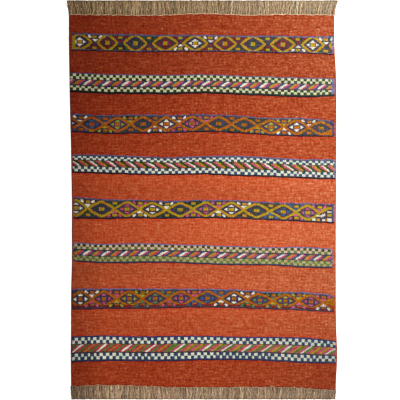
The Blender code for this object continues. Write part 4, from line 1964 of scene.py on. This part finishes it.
@dataclass
class WoolEffects:
    """The shared effects on wool, each a node group.

    The dyes grow paler from left to right, most at the head, in soft patches. This is partly sun fade and
    partly painted light and shade that stands in for the lamp's falloff towards the left. Painted shade
    also darkens the head's left corner and the foot's right corner, leaving the other two a little lighter,
    and darkens the left edge towards the foot. A "stretch" is how fine a noise is along each axis, each of
    "streaks" is how fine across and along the rug and how strong, and a "shade" is how much a thread's
    height adds to its tone, and the tone at its lowest.
    """

    fade_and_shade_across: float = 2.0
    fade_and_shade_along: float = 0.7
    fade_patches: float = 0.7
    patch_stretch: Triple = (4.0, 3.0, 1.0)
    painted_corner_shade: float = 0.6
    painted_edge_ramp: tuple[float, float] = (-7.0, -2.6)
    soil_and_shade: tuple[float, float] = (0.35, -0.2)
    fleck_stretch: Triple = (125.0, 150.0, 1.0)
    streaks: tuple[Triple, ...] = (
        (34.0, 170.0, 0.8), (170.0, 36.0, 0.6), (7.0, 160.0, 0.3), (26.0, 26.0, 0.2))
    slub_stretch: Triple = (95.0, 260.0, 1.0)
    slub_edge: tuple[float, float] = (0.34, 0.3)
    slub_sharpness: float = 9.0
    wobble_stretch: Triple = (90.0, 90.0, 1.0)
    warp_wobble: float = 0.25
    weft_wobble: float = 1.3
    bead_powers: tuple[float, float] = (0.6, 0.7)
    bead_shade: tuple[float, float] = (0.34, 0.74)
    ply_shade: tuple[float, float] = (0.3, 0.78)
    hair_stretch: Triple = (1500.0, 1100.0, 1100.0)
    tuft_stretch: Triple = (420.0, 420.0, 420.0)
    tuft_share: float = 0.8
    fibre_tone: float = 0.5
    fibre_rough: tuple[float, float] = (0.12, 0.9)

    @cached_property
    def fade_and_painted_shade(self) -> bpy.types.NodeTree:
        """How deep the dyes look: deepest at the left of the head, palest at the right, partly by sun fade
        and partly by painted light and shade. Its tone is painted shade at two corners and along the left
        edge.

        Returns:
            The node group.
        """
        nodes, given = new_group("fade_and_painted_shade", {"Vector": None, "Fade": 0.2}, ("Depth", "Tone"))
        parts = nodes.add("ShaderNodeSeparateXYZ", i0=given["Vector"])
        x, y = parts.outputs["X"], parts.outputs["Y"]
        # Partly sun fade and partly painted light and shade for the lamp's falloff: darker at the left,
        # lighter at the right, the more so towards the head.
        across = nodes.math("MULTIPLY", x, self.fade_and_shade_across)
        lengthwise = nodes.math("MULTIPLY_ADD", y, self.fade_and_shade_along, 1.0)
        patch = nodes.math("MULTIPLY", nodes.noise(given["Vector"], self.patch_stretch), self.fade_patches)
        spread = nodes.math("MULTIPLY_ADD", across, lengthwise, patch)
        pull = nodes.math("MULTIPLY", spread, given["Fade"])
        # Painted shade: darker at the head's left corner and the foot's right corner.
        raised = nodes.math("MULTIPLY", y, self.painted_corner_shade)
        bow = nodes.math("MULTIPLY_ADD", x, -self.painted_corner_shade, raised)
        corner = nodes.math("MULTIPLY", x, bow)
        # Painted shade along the left edge, darker towards the foot.
        near_edge = nodes.math("MULTIPLY_ADD", x, *self.painted_edge_ramp)
        edge = nodes.add("ShaderNodeClamp", Value=near_edge).outputs[0]
        soil_and_shade = nodes.math("MULTIPLY", edge, nodes.math("MULTIPLY_ADD", y, *self.soil_and_shade))
        tone = nodes.math("ADD", 1.0, nodes.math("ADD", corner, soil_and_shade))
        return close_group(nodes, Depth=nodes.math("SUBTRACT", 1.0, pull), Tone=tone)

    @cached_property
    def weft_streaks(self) -> bpy.types.NodeTree:
        """Uneven spinning and dyeing: flecks, streaks along the wefts and a few along the warps.

        Returns:
            The node group.
        """
        nodes, given = new_group("weft_streaks", {"Vector": None, "Strength": 1.0}, ("Streak",))
        total = nodes.noise(given["Vector"], self.fleck_stretch)
        for across, lengthwise, weight in self.streaks:
            found = nodes.noise(given["Vector"], (across, lengthwise, 1.0))
            total = nodes.math("MULTIPLY_ADD", found, weight, total)
        return close_group(nodes, Streak=nodes.math("MULTIPLY", total, given["Strength"]))

    @cached_property
    def slubs(self) -> bpy.types.NodeTree:
        """Small pale burrs and slubs that lie along the wefts.

        Returns:
            The node group.
        """
        nodes, given = new_group("slubs", {"Vector": None, "Amount": 0.3}, ("Mask",))
        speck = nodes.noise(given["Vector"], self.slub_stretch, 1.0)
        rarest, range_down = self.slub_edge
        edge = nodes.math("SUBTRACT", rarest, nodes.math("MULTIPLY", given["Amount"], range_down))
        raised = nodes.math("MULTIPLY", nodes.math("SUBTRACT", speck, edge), self.slub_sharpness)
        mask = nodes.add("ShaderNodeClamp", Value=raised).outputs[0]
        return close_group(nodes, Mask=mask)

    @cached_property
    def weft_beads(self) -> bpy.types.NodeTree:
        """Wefts that pass over every second warp, as rows of small beads, by thread count.

        Returns:
            The node group.
        """
        nodes, given = new_group("weft_beads", {"Threads": None, "Wobble": None}, ("Height", "Shade"))
        parts = nodes.add("ShaderNodeSeparateXYZ", i0=given["Threads"])
        loose = nodes.noise(given["Wobble"], self.wobble_stretch)
        warp = nodes.math("MULTIPLY_ADD", loose, self.warp_wobble, parts.outputs["X"])
        turn = nodes.math("MULTIPLY", nodes.math("FLOORED_MODULO", nodes.math("FLOOR", warp), 2.0), 0.5)
        weft = nodes.math("MULTIPLY_ADD", loose, self.weft_wobble, parts.outputs["Y"])
        weft = nodes.math("ADD", weft, turn)
        across = nodes.math("SINE", nodes.math("MULTIPLY", nodes.math("FRACT", warp), math.pi))
        lengthwise = nodes.math("SINE", nodes.math("MULTIPLY", nodes.math("FRACT", weft), math.pi))
        rounded = [nodes.math("POWER", *pair) for pair in zip((across, lengthwise), self.bead_powers)]
        height = nodes.math("MULTIPLY", *rounded)
        shade = nodes.math("MULTIPLY_ADD", height, *self.bead_shade)
        return close_group(nodes, Height=height, Shade=shade)

    @cached_property
    def ply_twist(self) -> bpy.types.NodeTree:
        """The slanted plies of a yarn, by the place round it and along it.

        Returns:
            The node group.
        """
        nodes, given = new_group(
            "ply_twist", {"Threads": None, "Plies": 2.0, "Slant": 1.0}, ("Height", "Shade"))
        parts = nodes.add("ShaderNodeSeparateXYZ", i0=given["Threads"])
        round_it = nodes.math("MULTIPLY", parts.outputs["X"], given["Plies"])
        place = nodes.math("MULTIPLY_ADD", parts.outputs["Y"], given["Slant"], round_it)
        height = nodes.math("SINE", nodes.math("MULTIPLY", nodes.math("FRACT", place), math.pi))
        return close_group(nodes, Height=height, Shade=nodes.math("MULTIPLY_ADD", height, *self.ply_shade))

    @cached_property
    def wool_fibre(self) -> bpy.types.NodeTree:
        """The fine hair of hand-spun wool, as tone and height.

        Returns:
            The node group.
        """
        nodes, given = new_group(
            "wool_fibre", {"Vector": None, "Strength": 1.0}, ("Tone", "Height", "Roughness"))
        hair = nodes.noise(given["Vector"], self.hair_stretch, 3.0)
        tuft = nodes.noise(given["Vector"], self.tuft_stretch, 2.0)
        both = nodes.math("MULTIPLY_ADD", tuft, self.tuft_share, hair)
        strength = nodes.math("MULTIPLY", both, given["Strength"])
        tone = nodes.math("MULTIPLY_ADD", strength, self.fibre_tone, 1.0)
        rough = nodes.math("MULTIPLY_ADD", both, *self.fibre_rough)
        return close_group(nodes, Tone=tone, Height=both, Roughness=rough)


class Relief(Enum):
    """What the threads of a piece show close to."""

    BEADS = "weft_beads"
    PLIES = "ply_twist"


@dataclass(frozen=True)
class WoolFinish:
    """The finish of one kind of wool piece.

    The colour comes from the piece's dye attribute. "fade" is how strongly the sun fade and the painted light
    and shade across the rug tell on it, "streak" how uneven its spinning is, "slub" how many pale burrs it
    has, and "depth" the height of its thread relief in metres. Plies and slant shape a twisted yarn's relief.
    """

    name: str
    relief: Relief
    depth: float
    fade: float = 0.2
    streak: float = 1.0
    slub: float = 0.0
    plies: float = 2.0
    slant: float = 1.0
    sheen: float = 0.06
    sheen_rough: float = 0.45
    specular: float = 0.08
    hair_height: float = 0.35
    bump: float = 0.8
    slub_shown: float = 0.4
    slub_wool: Dye = Dye.FLAX

    def material(self, effects: WoolEffects) -> bpy.types.Material:
        """Build the material from the shared effects.

        Args:
            effects: the shared node groups.

        Returns:
            The material.
        """
        material = bpy.data.materials.new(self.name)
        material.use_nodes = True
        nodes = Nodes(material.node_tree)
        shader = material.node_tree.nodes["Principled BSDF"]
        shader.inputs["Sheen Weight"].default_value = self.sheen
        shader.inputs["Sheen Roughness"].default_value = self.sheen_rough
        shader.inputs["Specular IOR Level"].default_value = self.specular
        place = nodes.add("ShaderNodeTexCoord").outputs["Object"]
        threads = nodes.add("ShaderNodeUVMap", {"uv_map": THREAD_MAP}).outputs[0]
        dye = nodes.add("ShaderNodeAttribute", {"attribute_name": DYE_MAP}).outputs["Color"]
        # The fade group: partly sun fade, partly painted light and shade across the rug.
        sun = nodes.group(effects.fade_and_painted_shade, Vector=place, Fade=self.fade)
        streak = nodes.group(effects.weft_streaks, Vector=place, Strength=self.streak).outputs["Streak"]
        power = nodes.math("SUBTRACT", sun.outputs["Depth"], streak)
        faded = nodes.add("ShaderNodeGamma", Color=dye, Gamma=power).outputs[0]
        fibre = nodes.group(effects.wool_fibre, Vector=place)
        if self.relief is Relief.BEADS:
            thread = nodes.group(effects.weft_beads, Threads=threads, Wobble=place)
        else:
            thread = nodes.group(effects.ply_twist, Threads=threads, Plies=self.plies, Slant=self.slant)
        # The fade group's Tone is painted shade at two corners and along the left edge.
        light = nodes.math("MULTIPLY", sun.outputs["Tone"], fibre.outputs["Tone"])
        tone = nodes.math("MULTIPLY", light, thread.outputs["Shade"])
        tinted = nodes.add("ShaderNodeVectorMath", {"operation": "SCALE"}, i0=faded, Scale=tone).outputs[0]
        if self.slub:
            mask = nodes.group(effects.slubs, Vector=place, Amount=self.slub).outputs["Mask"]
            shown = nodes.math("MULTIPLY", mask, self.slub_shown)
            pale = tuple(self.slub_wool.linear)
            blend = nodes.add("ShaderNodeMix", {"data_type": "RGBA"}, i0=shown, i6=tinted, i7=pale)
            tinted = blend.outputs[2]
        nodes.tree.links.new(tinted, shader.inputs["Base Color"])
        nodes.tree.links.new(fibre.outputs["Roughness"], shader.inputs["Roughness"])
        hair = fibre.outputs["Height"]
        height = nodes.math("MULTIPLY_ADD", hair, self.hair_height, thread.outputs["Height"])
        bump = nodes.add("ShaderNodeBump", Strength=self.bump, Distance=self.depth, Height=height)
        nodes.tree.links.new(bump.outputs[0], shader.inputs["Normal"])
        return material


GROUND_WOOL = WoolFinish("ground_wool", Relief.BEADS, 0.22 * MM, fade=0.12, streak=1.05, slub=0.25)
BROCADE_WOOL = WoolFinish("brocade_wool", Relief.PLIES, 0.14 * MM, fade=0.1, streak=0.5, plies=1.0, slant=2.0)
CORD_WOOL = WoolFinish("selvedge_wool", Relief.PLIES, 0.2 * MM, fade=0.12, streak=0.6, plies=2.0)
WARP_YARN = WoolFinish("warp_yarn", Relief.PLIES, 0.15 * MM, fade=0.12, streak=0.5, plies=2.0, sheen=0.1)


@dataclass(frozen=True)
class FloorPaint:
    """The floor's finish: matt pale paint with a glow of its own, so that it stays white."""

    tone: float = 0.9
    roughness: float = 0.9
    glow: float = 0.75

    def material(self) -> bpy.types.Material:
        """Build the material.

        Returns:
            The material.
        """
        material = bpy.data.materials.new("floor_paint")
        material.use_nodes = True
        inputs = material.node_tree.nodes["Principled BSDF"].inputs
        inputs["Base Color"].default_value = (self.tone, self.tone, self.tone, 1.0)
        inputs["Roughness"].default_value = self.roughness
        inputs["Emission Color"].default_value = (1.0, 1.0, 1.0, 1.0)
        inputs["Emission Strength"].default_value = self.glow
        return material


@dataclass(frozen=True)
class Studio:
    """The floor, the lights and the camera, which looks straight down."""

    view_centre: tuple[float, float] = (-12.1 * MM, 0.9 * MM)
    view_width: float = 1.492
    view_height: float = 6.0
    sensor: float = 36.0
    floor_half: float = 6.0
    floor_drop: float = 0.2 * MM
    paint: FloorPaint = FloorPaint()
    key_place: tuple[float, float, float] = (1.4, 0.1, 1.8)
    key_power: float = 70.0
    key_size: float = 0.9
    fill: float = 0.25

    def build(self, plan: RugPlan) -> None:
        """Set up the studio round the rug of this plan.

        Args:
            plan: the rug's settled plan.
        """
        centre = (self.view_centre[0] + plan.shift[0], self.view_centre[1] + plan.shift[1])
        self.build_floor()
        self.build_light("key", self.key_place, (centre[0], centre[1], 0.0), self.key_power, self.key_size)
        self.build_world()
        lens = bpy.data.cameras.new("camera")
        lens.sensor_width = self.sensor
        lens.lens = self.sensor * self.view_height / self.view_width
        camera = bpy.data.objects.new("camera", lens)
        camera.location = (centre[0], centre[1], self.view_height)
        bpy.context.scene.collection.objects.link(camera)
        bpy.context.scene.camera = camera
        bpy.context.scene.view_settings.view_transform = "Standard"

    def build_floor(self) -> None:
        """Lay a plain pale floor just under the rug."""
        bm = bmesh.new()
        bmesh.ops.create_grid(bm, x_segments=2, y_segments=2, size=self.floor_half)
        for vert in bm.verts:
            vert.co.z = -self.floor_drop
        mesh = bpy.data.meshes.new("floor")
        bm.to_mesh(mesh)
        bm.free()
        floor = bpy.data.objects.new("floor", mesh)
        bpy.context.scene.collection.objects.link(floor)
        mesh.materials.append(self.paint.material())
        floor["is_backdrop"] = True

    @staticmethod
    def build_light(
        name: str, place: Sequence[float], target: Sequence[float], power: float, size: float,
    ) -> None:
        """A soft square light at a place, turned towards its target.

        Args:
            name: the light's name.
            place: where it stands.
            target: what it is turned towards.
            power: its power in watts.
            size: the length of its side.
        """
        lamp = bpy.data.lights.new(name, "AREA")
        lamp.energy = power
        lamp.size = size
        light = bpy.data.objects.new(name, lamp)
        light.location = place
        aim = Vector(target) - light.location
        light.rotation_euler = aim.to_track_quat("-Z", "Y").to_euler()
        bpy.context.scene.collection.objects.link(light)

    def build_world(self) -> None:
        """An even, soft fill from all round."""
        world = bpy.data.worlds.new("fill")
        world.use_nodes = True
        background = world.node_tree.nodes["Background"]
        background.inputs["Color"].default_value = (1.0, 0.99, 0.97, 1.0)
        background.inputs["Strength"].default_value = self.fill
        bpy.context.scene.world = world


@dataclass
class Rug:
    """The whole rug: its pieces in making order, and how they are dressed and fixed to the frame."""

    cloth_size: tuple[float, float] = (0.99, 1.39)
    plan: RugPlan = field(default_factory=lambda: RugPlan().settled())
    effects: WoolEffects = field(default_factory=WoolEffects)
    materials: dict[str, bpy.types.Material] = field(default_factory=dict)

    def add(self, piece: bpy.types.Object, finish: WoolFinish, slot: str) -> bpy.types.Object:
        """Dress a piece, fix it to the rug's body and report it.

        Args:
            piece: the finished piece.
            finish: the finish of its wool.
            slot: not used.

        Returns:
            The same piece.
        """
        if finish.name not in self.materials:
            self.materials[finish.name] = finish.material(self.effects)
        piece.data.materials.append(self.materials[finish.name])
        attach(piece, "root")
        LOG.info("%s: %d faces, %s", piece.name, len(piece.data.polygons), finish.name)
        return piece

    def build(self) -> None:
        """Build and dress every piece."""
        plan = self.plan
        ground = self.add(Ground(plan).build(), GROUND_WOOL, "kilim_cloth")
        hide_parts("cloth")
        for number, band in enumerate(plan.bands):
            self.add(Brocade(plan, band, 100 + number).build(), BROCADE_WOOL, "kilim_cloth")
        # The left cord's dark madder and the right cord's raised tone are partly their wool and partly
        # painted shade at the left and painted light at the right.
        cords = (Selvedge(plan, Side.LEFT, Dye.MADDER),
                 Selvedge(plan, Side.RIGHT, Dye.BRICK, tone=1.15, tail=25.0 * MM))
        for cord in cords:
            self.add(cord.build(), CORD_WOOL, "kilim_cloth")
        self.add(Burrs(plan).build(), WARP_YARN, "warp_yarn")
        for end in ENDS:
            self.add(Twining(plan, end).build(), WARP_YARN, "warp_yarn")
            fringe = self.add(Fringe(plan, end).build(), WARP_YARN, "warp_yarn")
            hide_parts(end.node)


def write_sizes(solids: Sequence, dressed: Sequence) -> None:
    """Turn the box of the solids and of the dressed rug into plain lists, which nothing keeps.

    Args:
        solids: the lowest and highest corner of the solids.
        dressed: the same for the dressed rug.
    """
    boxes = {"cad": solids, "visual": dressed}
    plain = {name: [[float(part) for part in corner] for corner in box] for name, box in boxes.items()}


def main() -> None:
    """Build the studio and the rug."""
    logging.basicConfig(level=logging.INFO, format="%(name)s %(message)s")
    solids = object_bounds()
    rug = Rug()
    Studio().build(rug.plan)
    rug.build()
    bpy.context.view_layer.update()
    write_sizes(solids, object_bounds())


if __name__ == "__main__":
    main()
